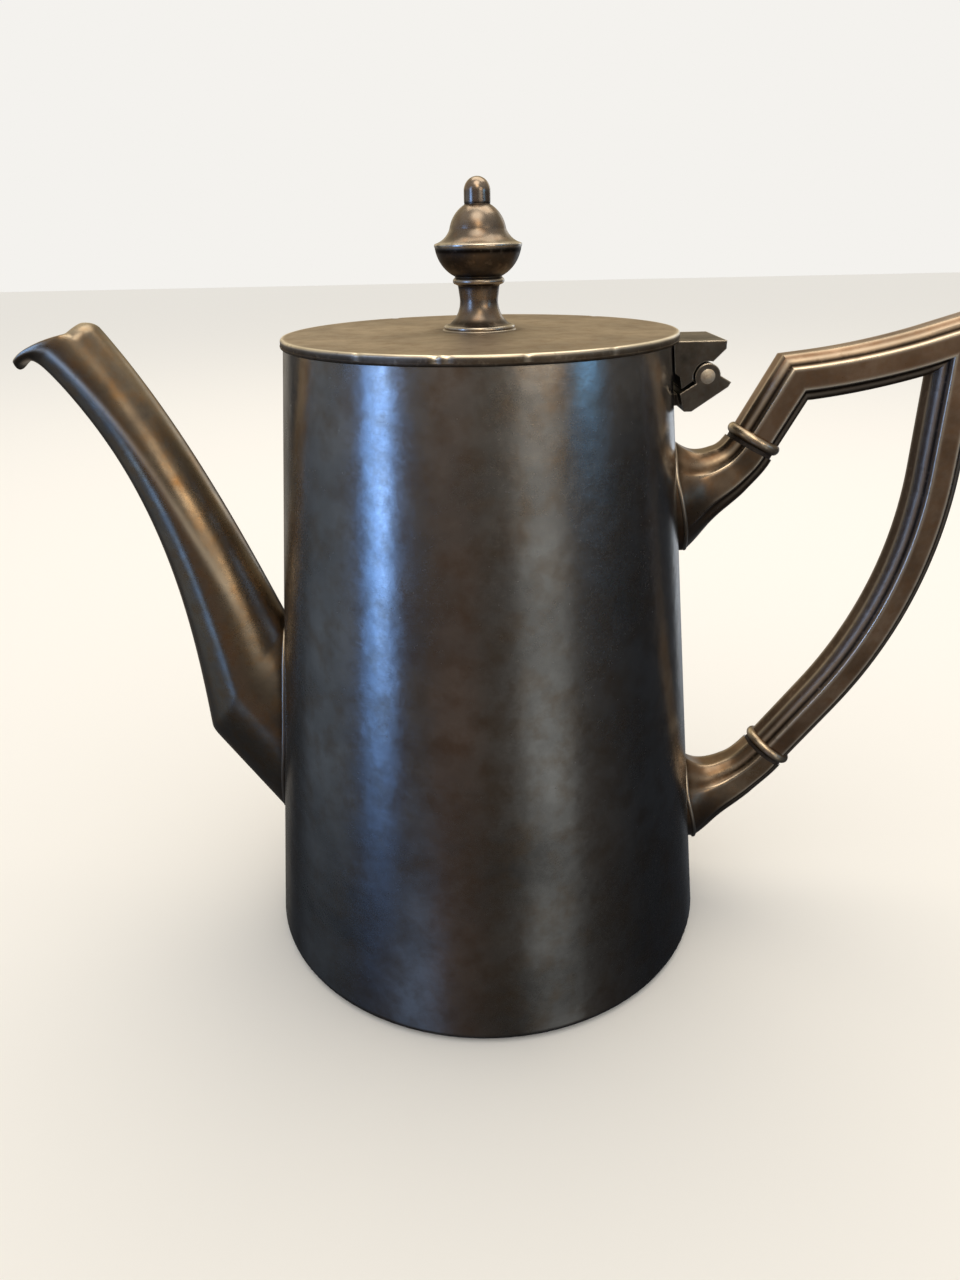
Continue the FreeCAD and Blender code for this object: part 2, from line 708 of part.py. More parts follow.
def make_socket(end):
    """Flared socket: sections along a curve from the bead's face to a broad foot, trimmed to the body."""
    body = piece(f"{end.name}_handle_socket")
    rise = "socket_foot_angle"
    # The middle line leaves the foot at one slope and the face at the other; its corner is where they cross
    run = f"({end.face[0]} - {end.foot[0]})"
    lift = f"({end.face[1]} - {end.foot[1]})"
    back = f"(({lift} - {run} * tan({rise})) / (sin({end.angle}) - cos({end.angle}) * tan({rise})))"
    corner = along(end.face, end.angle, f"-{back}")
    stations = [
        ("face", "1", end.angle),
        ("throat", "socket_throat_share", f"({rise} + socket_throat_turn * ({end.angle} - {rise}))"),
        ("flare", "socket_flare_share", rise),
    ]
    sketches = []
    for part, share, angle in stations:
        centre = [f"((1 - {share})^2 * {end.foot[axis]} + 2 * {share} * (1 - {share}) * {corner[axis]}"
                  f" + {share}^2 * {end.face[axis]})" for axis in (0, 1)]
        sketch = sketch_across(body, f"{end.name}_{part}", centre, angle)
        sketches.append(moulded_section(sketch, f"socket_{part}_depth", f"socket_{part}_width"))
    root = (f"{end.foot[0]} - socket_root", end.foot[1])
    foot = sketch_across(body, f"{end.name}_foot", root, TAPER)
    sketches.append(moulded_section(foot, "socket_foot_depth", "socket_foot_width"))
    feature(body, "AdditiveLoft", f"{end.name}_loft", sketches[0], Sections=sketches[1:])

    trim_to_body(body, f"{end.foot_height} - socket_foot_depth", f"{end.foot_height} + socket_foot_depth")
    mouth = sketch_across(body, f"{end.name}_mortise_circle", end.face, end.angle)
    circle(mouth, ("0", "0"), f"{SLEEVE_RADIUS} + joint_clearance")
    feature(body, "Pocket", f"{end.name}_mortise", mouth, Length="tenon_depth + joint_clearance")
    cut_across(body, f"{end.name}_socket_hole", end.cross_pin, "handle_pin_radius + joint_clearance",
               f"{SLEEVE_RADIUS} + handle_pin_bite")


def make_insulator(end):
    """Heat break: a flange under the bead and a sleeve round the tenon inside the socket."""
    inside = "tenon_radius + joint_clearance"
    sleeve_end = "-(tenon_depth - sleeve_setback)"
    body = turned(f"{end.name}_insulator", [
        (inside, sleeve_end),
        (SLEEVE_RADIUS, sleeve_end),
        (SLEEVE_RADIUS, "0"),
        ("insulator_radius", "0"),
        ("insulator_radius", "insulator_thickness"),
        (inside, "insulator_thickness"),
    ])
    hole = "handle_pin_radius + joint_clearance"
    cut_across(body, f"{end.name}_sleeve_hole", ("0", "-handle_pin_depth"), hole)
    place_at(body, *end.face, end.angle)


def make_collar(end):
    """Bead ring between the handle's shoulder and the heat break."""
    inside = "tenon_radius + joint_clearance"
    rim = f"collar_radius - {HALF_COLLAR}"
    body = turned(f"{end.name}_collar", [
        (inside, f"-{HALF_COLLAR}"),
        (rim, f"-{HALF_COLLAR}"),
        (rim, HALF_COLLAR),
        (inside, HALF_COLLAR),
    ], {1: "collar_bead_bend"})
    place_at(body, *end.ring, end.angle)


def make_handle_pin(end):
    """Cross pin through the socket's far side, sleeve and tenon into the socket's near side."""
    near = f"({SLEEVE_RADIUS} + handle_pin_bite)"
    pin = doc.addObject("Part::Cylinder", f"{end.name}_handle_pin")
    pin.Label = f"{end.name}_handle_pin"
    pin.setExpression("Radius", formula("handle_pin_radius"))
    pin.setExpression("Height", formula(f"{near} + socket_face_width / 2 - handle_pin_recess"))
    pin.Placement.Rotation = FreeCAD.Rotation(FreeCAD.Vector(1, 0, 0), -90)
    place_at(pin, *end.cross_pin)
    pin.setExpression("Placement.Base.y", formula(f"-{near}"))


# Spout


def vector(x, z):
    """Point of the pot's middle plane."""
    return FreeCAD.Vector(value(x), 0, value(z))


def toward(start, angle, distance):
    """Point at a distance from a start, in a direction of the middle plane."""
    turn = math.radians(value(angle))
    return start + FreeCAD.Vector(math.cos(turn), 0, math.sin(turn)) * value(distance)


def curve_points(start, start_angle, start_pull, stop, stop_angle, stop_pull):
    """Points at even steps of a curve that leaves its start and reaches its stop in given directions."""
    curve = Part.BezierCurve()
    curve.setPoles([start, toward(start, start_angle, start_pull),
                    toward(stop, stop_angle, f"-{stop_pull}"), stop])
    return [curve.value(step / (SPOUT_STATIONS - 1)) for step in range(SPOUT_STATIONS)]


def spout_section(upper, lower, half_width, keel, inset):
    """Closed section between an upper and a lower point: half an ellipse above, drawn to a keel below."""
    axis = upper - lower
    half_depth = axis.Length / 2 - inset
    axis.normalize()
    middle = (upper + lower) * 0.5
    points = []
    for step in range(SECTION_POINTS):
        turn = 2 * math.pi * step / SECTION_POINTS
        height, width = math.cos(turn), math.sin(turn)
        if height < 0:
            width = width * (1 - keel) + math.copysign(1 + height, width) * keel
        sideways = FreeCAD.Vector(0, (half_width - inset) * width, 0)
        points.append(middle + axis * (half_depth * height) + sideways)
    curve = Part.BSplineCurve()
    curve.interpolate(points, PeriodicFlag=True)
    return Part.Wire(curve.toShape())


def spout_horn(inset, run):
    """Solid horn from inside the body along a run of the lip, drawn in by an inset all round."""
    wall = wall_radius("spout_top_height")
    upper = curve_points(
        vector(f"-{wall}", "spout_top_height"), "spout_top_angle", "spout_top_pull",
        vector(f"-{wall} - spout_peak_reach", "spout_peak_height"), "spout_peak_angle", "spout_peak_pull")
    lower = curve_points(
        vector(f"-{wall} - keel_reach", "keel_height"), "keel_angle", "keel_pull",
        vector(f"-{wall} - lip_reach", "lip_height"), "lip_angle", "lip_pull")
    root_width, mouth_width = value("spout_root_half_width"), value("spout_mouth_half_width")
    sharpness, power = value("keel_sharpness"), value("spout_taper_power")
    sections = []
    for step, (top, bottom) in enumerate(zip(upper, lower)):
        left = (1 - step / (SPOUT_STATIONS - 1)) ** power
        half_width = mouth_width + (root_width - mouth_width) * left
        sections.append(spout_section(top, bottom, half_width, sharpness * left, inset))
    # The lip goes on from the mouth's lower edge and turns down
    lip_width = mouth_width + (value("lip_half_width") - mouth_width) * run
    lip = spout_section(upper[-1] + vector("-lip_length", "lip_curl") * run,
                        lower[-1] + vector("-lip_length", "-lip_curl") * run, lip_width, 0, inset)
    # A straight run goes back from the keel's corner through the wall
    top_height, keel_height = "(spout_top_height - spout_root_drop)", "(keel_height - keel_root_drop)"
    root = spout_section(vector(f"-{wall_radius(top_height)} + spout_root_depth", top_height),
                         vector(f"-{wall_radius(keel_height)} + keel_root_depth", keel_height),
                         root_width, sharpness, inset)
    horn = Part.makeLoft(sections, True, False)
    for pair in ([sections[-1], lip], [sections[0], root]):
        horn = horn.fuse(Part.makeLoft(pair, True, True))
    return horn


def mouth_cutter():
    """Block over the mouth whose underside is the rim's line, from the peak down along the lip."""
    wall = wall_radius("spout_top_height")
    peak = vector(f"-{wall} - spout_peak_reach", "spout_peak_height")
    dip = vector(f"-{wall} - rim_dip_reach", "rim_dip_height")
    end = vector(f"-{wall} - lip_reach - lip_length", "lip_height - lip_curl + lip_rim_height")
    beyond = end + vector("-lip_length", "-lip_curl")
    sag = vector("0", "lip_rim_height / 2")
    top = vector("0", "spout_peak_pull")
    edges = [
        Part.Arc(peak, (peak + dip) * 0.5 - sag, dip).toShape(),
        Part.Arc(dip, (dip + end) * 0.5 + sag, end).toShape(),
        Part.LineSegment(end, beyond).toShape(),
        Part.LineSegment(beyond, beyond + top).toShape(),
        Part.LineSegment(beyond + top, peak + top).toShape(),
        Part.LineSegment(peak + top, peak).toShape(),
    ]
    half = FreeCAD.Vector(0, value("spout_root_half_width"), 0)
    face = Part.Face(Part.Wire(edges))
    face.translate(-half)
    return face.extrude(half * 2)


def make_spout():
    """Hollow horn, open at the body wall and at the mouth, seated on the body's tapered outside."""
    outside = spout_horn(0, 1)
    inside = spout_horn(value("spout_wall"), LIP_OVERRUN)
    pot = Part.makeCone(value("base_radius"), value("top_radius"), value("body_height"))
    spout = doc.addObject("Part::Feature", "spout")
    spout.Label = "spout"
    spout.Shape = outside.cut(inside).cut(mouth_cutter()).cut(pot)
    spout.Placement = FreeCAD.Placement()


make_body_shell()
make_base_plate()
make_spout()
make_hinge_bracket()
make_hinge_pin()
for handle_end in (UPPER, LOWER):
    make_socket(handle_end)
    make_insulator(handle_end)
    make_collar(handle_end)
    make_handle_pin(handle_end)
make_handle_grip()
make_lid_plate()
make_lid_flange()
make_lid_hinge_lug()
make_finial()
doc.recompute()

# Check every object before anything is written
for item in doc.Objects:
    if {"Invalid", "Error"} & set(item.State):
        raise RuntimeError(f"{item.Label}: {item.State}")
node_kinds = ("PartDesign::Body", "Part::Cylinder", "Part::Feature")
nodes = [item for item in doc.Objects if item.TypeId in node_kinds]
for node in nodes:
    shape = node.Shape
    if shape.isNull() or not shape.isValid() or len(shape.Solids) != 1:
        raise RuntimeError(f"{node.Label}: {len(shape.Solids)} solids, valid {shape.isValid()}")

os.makedirs("parts", exist_ok=True)
for node in nodes:
    node.Shape.exportStep(f"parts/{node.Label}.step")
    box = node.Shape.BoundBox
    print(f"{node.Label:22s} {node.Shape.Volume:10.1f} mm3  X {box.XMin:7.2f} {box.XMax:7.2f}"
          f"  Y {box.YMin:7.2f} {box.YMax:7.2f}  Z {box.ZMin:7.2f} {box.ZMax:7.2f}")
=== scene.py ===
# %% [markdown]
# # A tarnished silver-plated serving pot
#
# The imported solids are the fixed frame: every piece below sits where they are, with Z up, the spout
# towards -X and the handle towards +X. Pieces that the eye rests on are drawn again here as fine surfaces
# with softened edges. The others keep their solids and get a finish. Shapes are worked out in millimetres
# and put into Blender in metres.
#
# Each new surface is a grid of points, and each point carries two numbers: one says how far its plating
# has been rubbed bright, and also where a highlight is painted on the spout's crest; the other says how
# much old polish lies in a groove, and also where shade is painted on the lid's rim, under the knob's cup
# and on the handle's inner edge. The materials read both.

# %% Load the frame
import math
from functools import partial

import bmesh
import bpy
import numpy as np
from mathutils import Matrix, Vector


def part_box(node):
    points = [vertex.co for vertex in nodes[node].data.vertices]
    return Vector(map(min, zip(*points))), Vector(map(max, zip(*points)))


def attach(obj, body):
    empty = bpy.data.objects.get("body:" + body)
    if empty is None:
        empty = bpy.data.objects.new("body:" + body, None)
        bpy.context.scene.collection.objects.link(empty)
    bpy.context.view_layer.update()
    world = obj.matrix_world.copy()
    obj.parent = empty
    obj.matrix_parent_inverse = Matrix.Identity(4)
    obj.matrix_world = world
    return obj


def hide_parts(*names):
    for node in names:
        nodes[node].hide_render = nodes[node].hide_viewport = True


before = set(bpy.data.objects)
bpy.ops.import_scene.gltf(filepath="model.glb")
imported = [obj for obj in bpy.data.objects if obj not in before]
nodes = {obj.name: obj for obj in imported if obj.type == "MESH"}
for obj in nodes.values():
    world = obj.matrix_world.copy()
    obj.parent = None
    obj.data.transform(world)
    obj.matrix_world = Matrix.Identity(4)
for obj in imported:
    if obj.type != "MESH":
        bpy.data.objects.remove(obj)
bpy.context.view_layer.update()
MM = 0.001

# %% [markdown]
# ## Outlines
#
# Nearly every part of a pot starts from a drawn profile that is turned, swept or bent. Blender's curves
# could hold such a profile, but the wear further down has to know where each point lies, so here it is an
# array of points: straight lines and arcs between a few corners. Sampled evenly and averaged with its
# neighbours, it gets the small rounds that polishing leaves on every corner.


# %% Outlines
def arc_outline(corners, bends, closed=False, steps=24):
    """Points along an outline in two dimensions.

    An edge listed in bends is an arc that turns by that many degrees, to the left where positive.
    Its points lie at equal angles on the circle through both ends.
    """
    corners = np.asarray(corners, float)
    followers = np.roll(corners, -1, axis=0)
    share = np.linspace(0, 1, steps, endpoint=False)[:, None]
    pieces = []
    for index in range(len(corners) - (0 if closed else 1)):
        start, stop = corners[index], followers[index]
        if index not in bends:
            pieces.append(start + (stop - start) * share)
            continue
        turn = math.radians(bends[index])
        chord = stop - start
        to_centre = np.array([-chord[1], chord[0]]) / (2 * math.tan(turn / 2))
        centre = (start + stop) / 2 + to_centre
        arm = start - centre
        angle = share * turn
        spin_x = arm[0] * np.cos(angle) - arm[1] * np.sin(angle)
        spin_y = arm[0] * np.sin(angle) + arm[1] * np.cos(angle)
        pieces.append(centre + np.hstack([spin_x, spin_y]))
    if not closed:
        pieces.append(corners[-1:])
    return np.vstack(pieces)


def read_line(places, marks, line):
    """Points of a line at some places, by linear interpolation between its own points at marks."""
    return np.stack([np.interp(places, marks, column) for column in line.T], axis=-1)


def resample(points, count, closed=False):
    """The same line with evenly spaced points over its length."""
    line = np.vstack([points, points[:1]]) if closed else points
    run = np.concatenate([[0], np.cumsum(np.linalg.norm(np.diff(line, axis=0), axis=1))])
    places = np.linspace(0, run[-1], count, endpoint=not closed)
    return read_line(places, run, line)


def soften(points, width, closed=False):
    """Round an evenly spaced line: average each point twice with its neighbours, width points in all."""
    kernel = np.ones(width) / width
    pad = width // 2
    for _ in range(2):
        if closed:
            padded = np.pad(points, ((pad, pad), (0, 0)), mode="wrap")
        else:
            padded = np.pad(points, ((pad, pad), (0, 0)), mode="reflect", reflect_type="odd")
        points = np.stack([np.convolve(column, kernel, "valid") for column in padded.T], axis=1)
    return points


quarter_turn = arc_outline([(1, 0), (0, 1)], {0: 90})
print("a quarter turn is drawn with", len(quarter_turn), "points")

# %% [markdown]
# ## Chance and reach
#
# Wear is uneven. A texture could scatter it, but then it wouldn't follow the edges of a piece. Two small
# functions place it instead: a wobble that goes once round a piece and closes on itself, and a bump that
# is full at an edge or groove and fades away from it. The seeds are fixed, so each run gives the same pot.


# %% Wear patterns
def full_turn(count):
    """Evenly spaced angles once round a circle."""
    return np.linspace(0, 2 * math.pi, count, endpoint=False)


def wander(angle, waves, seed):
    """Wobble round a circle, from -1 to 1: sine waves of 1 to so many turns with seeded sizes and phases."""
    chance = np.random.default_rng(seed)
    turns = np.arange(1, waves + 1)
    size = chance.uniform(0.3, 1, waves)
    phase = chance.uniform(0, 2 * math.pi, waves)
    return (size * np.sin(np.multiply.outer(angle, turns) + phase)).sum(-1) / size.sum()


def bump_at(values, place, reach):
    """Bell-shaped bump: e to the power of minus the square of the distance from a place over a reach."""
    return np.exp(-(((values - place) / reach) ** 2))


print(f"at its reach a bump has faded to {bump_at(1.0, 0.0, 1.0):.2f}")

# %% [markdown]
# ## From grid to mesh
#
# A grid of points becomes a mesh by joining each point to its neighbours in the next row and column.
# Every piece here closes on itself, so the last column joins the first. Points that fall together, at a
# pole or a seam, are welded, and an open end gets a face. Blender then turns all faces outwards.

# %% Meshes
WELD_DISTANCE = 0.0001


def add_object(name, data):
    """New object in the scene that shows a mesh, a light or a camera."""
    item = bpy.data.objects.new(name, data)
    bpy.context.scene.collection.objects.link(item)
    return item


def mesh_piece(name, grid, wear_and_highlight, grime_and_shade=0.0, sharp=50):
    """Object from a grid of points in millimetres, rows along the piece and columns round it.

    wear and grime are numbers for each point, and also carry painted highlight and painted shade. Edges
    turned by more than sharp degrees shade as edges.
    """
    rows, columns = grid.shape[:2]
    index = np.arange(rows * columns).reshape(rows, columns)
    index = np.hstack([index, index[:, :1]])
    faces = np.stack([index[:-1, :-1], index[:-1, 1:], index[1:, 1:], index[1:, :-1]], axis=-1)
    mesh = bpy.data.meshes.new(name)
    mesh.from_pydata((grid.reshape(-1, 3) * MM).tolist(), [], faces.reshape(-1, 4).tolist())
    for layer_name, values in (("wear_and_highlight", wear_and_highlight), ("grime_and_shade", grime_and_shade)):
        layer = mesh.attributes.new(layer_name, "FLOAT", "POINT")
        layer.data.foreach_set("value", np.broadcast_to(values, (rows, columns)).ravel().astype(np.float32))
    work = bmesh.new()
    work.from_mesh(mesh)
    bmesh.ops.remove_doubles(work, verts=work.verts, dist=WELD_DISTANCE * MM)
    bmesh.ops.holes_fill(work, edges=work.edges[:])
    bmesh.ops.recalc_face_normals(work, faces=work.faces)
    work.to_mesh(mesh)
    work.free()
    mesh.shade_smooth()
    mesh.set_sharp_from_angle(angle=math.radians(sharp))
    print(f"{name}: {len(mesh.vertices)} points, {len(mesh.polygons)} faces")
    return add_object(name, mesh)


def stand_for(piece, node, body):
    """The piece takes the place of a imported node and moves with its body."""
    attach(piece, body)
    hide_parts(node)
    return piece


print("points within", WELD_DISTANCE, "mm of each other are welded")

# %% [markdown]
# ## Sizes shared with the solids, in millimetres
#
# The body is a plain cone with its rim cut level. Its wall is a formula, not a measured mesh, because the
# spout, the sockets and the solder are all fitted to it.

# %% Sizes
BASE_RADIUS, TOP_RADIUS, BODY_HEIGHT = 50.0, 36.6, 129.4
LID_SETBACK, LID_RADIUS, LID_THICKNESS, LID_CROWN = 0.5, 37.6, 1.8, 0.25
LID_BOTTOM = BODY_HEIGHT + 0.05
FINIAL_FOOT = 6.5


def wall_radius(height):
    """Outside radius of the tapered body at a height: it falls in a straight line from foot to rim."""
    return BASE_RADIUS - (BASE_RADIUS - TOP_RADIUS) * height / BODY_HEIGHT


def height_over_wall(grid):
    """How far each point of a grid stands outside the body's wall: its reach less the wall's radius."""
    return np.hypot(grid[..., 0], grid[..., 1]) - wall_radius(grid[..., 2])


lid_low, lid_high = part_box("lid_plate")
print(f"lid: {2 * LID_RADIUS:.1f} mm across here, {(lid_high[1] - lid_low[1]) / MM:.1f} mm in the frame")

# %% [markdown]
# ## Lid
#
# The lid is a thick disc with a low crown, pressed from sheet. A cylinder with a Bevel modifier would give
# its form, but years of thumbs and cloths have changed its rim: the edge wanders by a tenth of a
# millimetre, has a few nicks, and shows bright metal in patches. So its profile is turned here, with rows
# close together at the rim, and the rim is then pushed in by angle.

# %% Lid profile
RIM_ROUND, RIM_BAND, BAND_RISE = 0.5, 2.0, 0.02
CROWN_TURN, EDGE_TURN = -1.0, -88


def turned_grid(profile, angles, centre_x=0.0, base_z=0.0):
    """Surface of revolution: each radius and height of the profile goes round a vertical axis."""
    radius, height = profile[:, :1], profile[:, 1:]
    return np.stack([
        radius * np.cos(angles) + centre_x,
        radius * np.sin(angles),
        np.broadcast_to(height + base_z, (len(profile), len(angles))),
    ], axis=-1)


lid_profile = arc_outline([
    (0, LID_THICKNESS + LID_CROWN),
    (FINIAL_FOOT, LID_THICKNESS + LID_CROWN),
    (LID_RADIUS - RIM_BAND, LID_THICKNESS + BAND_RISE),
    (LID_RADIUS - RIM_ROUND, LID_THICKNESS),
    (LID_RADIUS, LID_THICKNESS - RIM_ROUND),
    (LID_RADIUS, RIM_ROUND),
    (LID_RADIUS - RIM_ROUND, 0),
    (LID_RADIUS - RIM_BAND, 0),
    (0, 0),
], {1: CROWN_TURN, 3: EDGE_TURN, 5: EDGE_TURN}, steps=22)
lid_angles = full_turn(512)
lid_grid = turned_grid(lid_profile, lid_angles, LID_SETBACK, LID_BOTTOM)
lid_reach, lid_height = lid_profile[:, :1], lid_profile[:, 1:]
print("lid profile:", len(lid_profile), "points")

# %% Lid rim, dented and nicked
RIM_REACH, RIM_WOBBLE, NICK_SPREAD, NICK_DROP = 0.9, 0.1, 0.014, 0.8
NICKS = [(259, 0.34), (262, 0.2), (281, 0.22), (305, 0.16), (238, 0.18), (196, 0.25), (120, 0.3), (47, 0.2)]

nick_degrees, nick_depths = np.array(NICKS).T
nicks = (nick_depths * bump_at(lid_angles[:, None], np.radians(nick_degrees), NICK_SPREAD)).sum(1)
at_rim = bump_at(lid_reach, LID_RADIUS, RIM_REACH) * (lid_height > LID_THICKNESS * 0.3)
inward = at_rim * (RIM_WOBBLE - RIM_WOBBLE * wander(lid_angles, waves=40, seed=3) + nicks)
lid_grid[..., 0] -= inward * np.cos(lid_angles)
lid_grid[..., 1] -= inward * np.sin(lid_angles)
lid_grid[..., 2] -= at_rim * nicks * NICK_DROP * (lid_height > LID_THICKNESS * 0.6)
print(f"rim pushed in by up to {inward.max():.2f} mm")

# %% Lid wear, grime and painted shade
EDGE_REACH = 0.45

upper_edge = bump_at(np.hypot(lid_reach - LID_RADIUS + 0.2, lid_height - LID_THICKNESS), 0, EDGE_REACH)
edge_wear = upper_edge * (0.95 + 0.7 * wander(lid_angles, waves=34, seed=8))
lid_wear = np.clip(edge_wear + at_rim * nicks * 1.6, 0, 1)
round_foot = bump_at(lid_reach, FINIAL_FOOT + 0.5, 1.6) * (lid_height > LID_THICKNESS)
# The side face of the rim is darkened all round as painted shade.
rim_side_shade = (lid_height < LID_THICKNESS - 0.4) * (lid_reach > LID_RADIUS - 1.5)
lid_grime_and_shade = np.clip(0.5 * round_foot + rim_side_shade * (0.6 + 0.25 * wander(lid_angles, waves=26, seed=4)), 0, 1)
lid = stand_for(mesh_piece("lid_disc", lid_grid, lid_wear, lid_grime_and_shade), "lid_plate", "lid")

# %% [markdown]
# ## Finial
#
# The knob was turned on a lathe: a moulded foot, a waist, a bead, a cup with a sharp rim, a bell and a
# small tip. Blender's Screw modifier could spin a drawn curve, but a turned grid lets the wear follow the
# profile. The rim of the cup is where the knob is picked up, so it is brightest, and polish is left in
# each groove. The underside of the cup is darkened as painted shade.

# %% Finial
GROOVES = [(1.4, 0.6), (7.6, 0.4), (9.5, 0.4), (13.9, 0.5), (21.5, 0.35)]

finial_outline = arc_outline([
    (0, 0),
    (FINIAL_FOOT, 0),
    (FINIAL_FOOT, 0.9),  # top of the foot's roll
    (5.8, 0.95),
    (3.6, 5.6),  # waist
    (3.9, 7.85),
    (4.55, 8.1),  # bead
    (4.55, 9.1),
    (4.3, 9.35),
    (8.0, 14.4),  # rim of the cup
    (8.0, 15.0),
    (5.2, 17.4),  # bell
    (2.3, 21.45),
    (2.4, 21.7),  # tip
    (2.4, 23.6),
    (0, 26.0),
], {1: 120, 3: -62, 6: 120, 8: 58, 9: 90, 10: -55, 11: 52, 14: 90})
finial_profile = soften(resample(finial_outline, 700), 5)
finial_profile[:, 0] = np.clip(finial_profile[:, 0], 0, None)
finial_profile[0, 0] = finial_profile[-1, 0] = 0
finial_angles = full_turn(128)
finial_base = LID_BOTTOM + LID_THICKNESS + LID_CROWN
finial_grid = turned_grid(finial_profile, finial_angles, LID_SETBACK, finial_base)
radius, height = finial_profile[:, :1], finial_profile[:, 1:]
cup_rim = bump_at(height, 14.75, 0.42) * (radius > 7.2)
foot_band = bump_at(height, 0.7, 0.4) * (radius > 6.1)
bead_band = bump_at(height, 8.6, 0.5) * (radius > 4.3)
cup_wear = cup_rim * (0.75 + 0.4 * wander(finial_angles, waves=12, seed=5))
finial_wear = np.clip(cup_wear + 0.55 * foot_band + 0.45 * bead_band, 0, 1)
# The underside of the cup is darkened as painted shade.
cup_underside_shade = 0.7 * bump_at(height, 11.8, 2.3) * (radius > 4.6)
groove_grime = sum(0.8 * bump_at(height, place, reach) for place, reach in GROOVES)
finial_grime_and_shade = np.clip(groove_grime + cup_underside_shade, 0, 1)
finial = stand_for(mesh_piece("finial_turned", finial_grid, finial_wear, finial_grime_and_shade),
                   "finial_knob", "lid")

# %% [markdown]
# ## Handle
#
# The handle is a casting of one moulded section: a flat raised face on each side, a cove beside it, a
# rounded shoulder and narrow inner and outer edges. The same section runs on into the flared sockets. A
# Blender curve with a bevel object would sweep it, but would round the mitred corners, so the section is
# set at stations along the handle's line. The palm polishes the corners of the raised face and the
# shoulders first, so they carry the wear, and the coves keep the grime. The inner edge is darkened as
# painted shade.

# %% Moulded section
SECTION_POINTS = 192
EDGE_HALF, FACE_HALF, STEP, STEP_DROP = 1.8, 2.2, 0.7, 1.1
COVE_BEND, SHOULDER_BEND = 50, 55


def moulded_section(depth, width):
    """Closed section outline: x runs across the handle's depth and y across its width, corners softened."""
    half, side = depth / 2, width / 2
    cove, cove_side = FACE_HALF + STEP, side - STEP_DROP
    one_side = np.array([(-half, -EDGE_HALF), (-cove, -cove_side), (-FACE_HALF, -side),
                         (FACE_HALF, -side), (cove, -cove_side), (half, -EDGE_HALF)])
    bends = {0: SHOULDER_BEND, 1: -COVE_BEND, 3: -COVE_BEND, 4: SHOULDER_BEND}
    opposite = {edge + len(one_side): bend for edge, bend in bends.items()}
    line = arc_outline(np.vstack([one_side, -one_side]), bends | opposite, closed=True, steps=40)
    return soften(resample(line, SECTION_POINTS, closed=True), 3, closed=True)


def ridge_wear(section):
    """Wear of each point of a section: full on the raised face's corners, less on shoulders and edges."""
    across, side = np.abs(section[:, 0]), np.abs(section[:, 1])
    corners = bump_at(np.hypot(across - FACE_HALF, side - side.max()), 0, 0.42)
    shoulders = bump_at(across, FACE_HALF + STEP + 0.55, 0.35) * (side > EDGE_HALF)
    edges = bump_at(np.hypot(across - across.max(), side - EDGE_HALF), 0, 0.5)
    return np.clip(corners + 0.5 * shoulders + 0.45 * edges, 0, 1)


def cove_grime(section):
    """Old polish in each cove of a section: a bump round the cove's deepest point."""
    across, side = np.abs(section[:, 0]), np.abs(section[:, 1])
    return bump_at(np.hypot(across - FACE_HALF - STEP * 0.8, side - side.max() + STEP_DROP * 0.8), 0, 0.5)


HANDLE_DEPTH, HANDLE_WIDTH = 9.2, 9.0
handle_section = moulded_section(HANDLE_DEPTH, HANDLE_WIDTH)
print("section:", np.ptp(handle_section, axis=0).round(2), "mm over its softened corners")

# %% Line of the handle
HALF_COLLAR, INSULATOR = 1.1, 0.8
UPPER_ANGLE, LOWER_ANGLE = math.radians(62), math.radians(54)
UPPER_HEIGHT, LOWER_HEIGHT = 109.6, 38.0
UPPER_RING = np.array([wall_radius(UPPER_HEIGHT) + 16.5, UPPER_HEIGHT])
LOWER_RING = np.array([wall_radius(LOWER_HEIGHT) + 20.1, LOWER_HEIGHT])
RISER, ARM, ARM_BEND, BEND_RADIUS = 13.5, (31.1, 6.5), 13, 88.0


def heading(angle):
    """Unit vector at an angle in the pot's middle plane."""
    return np.array([math.cos(angle), math.sin(angle)])


first_corner = UPPER_RING + RISER * heading(UPPER_ANGLE)
second_corner = first_corner + ARM
bend_turn = math.pi / 2 - LOWER_ANGLE
bend_width = BEND_RADIUS * (1 - math.cos(bend_turn))
tail = (second_corner[0] - LOWER_RING[0] - bend_width) / math.cos(LOWER_ANGLE)
bend_end = LOWER_RING + tail * heading(LOWER_ANGLE)
bend_start = np.array([second_corner[0], bend_end[1] + BEND_RADIUS * math.sin(bend_turn)])
riser_line = arc_outline([UPPER_RING + HALF_COLLAR * heading(UPPER_ANGLE), first_corner], {})
arm_line = arc_outline([first_corner, second_corner], {0: ARM_BEND})
grip_end = LOWER_RING + HALF_COLLAR * heading(LOWER_ANGLE)
grip_line = arc_outline([second_corner, bend_start, bend_end, grip_end], {1: -math.degrees(bend_turn)})
print("corners of the handle:", first_corner.round(1), second_corner.round(1))

# %% Handle grip
RUN_SAMPLES = 400
FIRST_MITRE, SECOND_MITRE = 3.2, 7.2
INNER_FROM, INNER_OVER, INNER_SHADE = 3.4, 0.8, 0.55


def run_frame(line, count, skip_start, skip_end):
    """Evenly spaced stations of a run, clear of the mitres at its ends, and the normals on their left."""
    samples = resample(line, RUN_SAMPLES)
    length = np.linalg.norm(np.diff(samples, axis=0), axis=1).sum()
    keep = np.linspace(skip_start / length, 1 - skip_end / length, count) * (RUN_SAMPLES - 1)
    tangent = np.gradient(samples, axis=0)
    tangent /= np.linalg.norm(tangent, axis=1, keepdims=True)
    normal = np.stack([-tangent[:, 1], tangent[:, 0]], axis=1)
    return [read_line(keep, np.arange(RUN_SAMPLES), part) for part in (samples, normal)]


def mitre(before, after):
    """Normal at a corner: it halves the turn, and is stretched so that the section meets both runs."""
    middle = before + after
    middle = middle / np.linalg.norm(middle)
    return middle / (middle @ before)


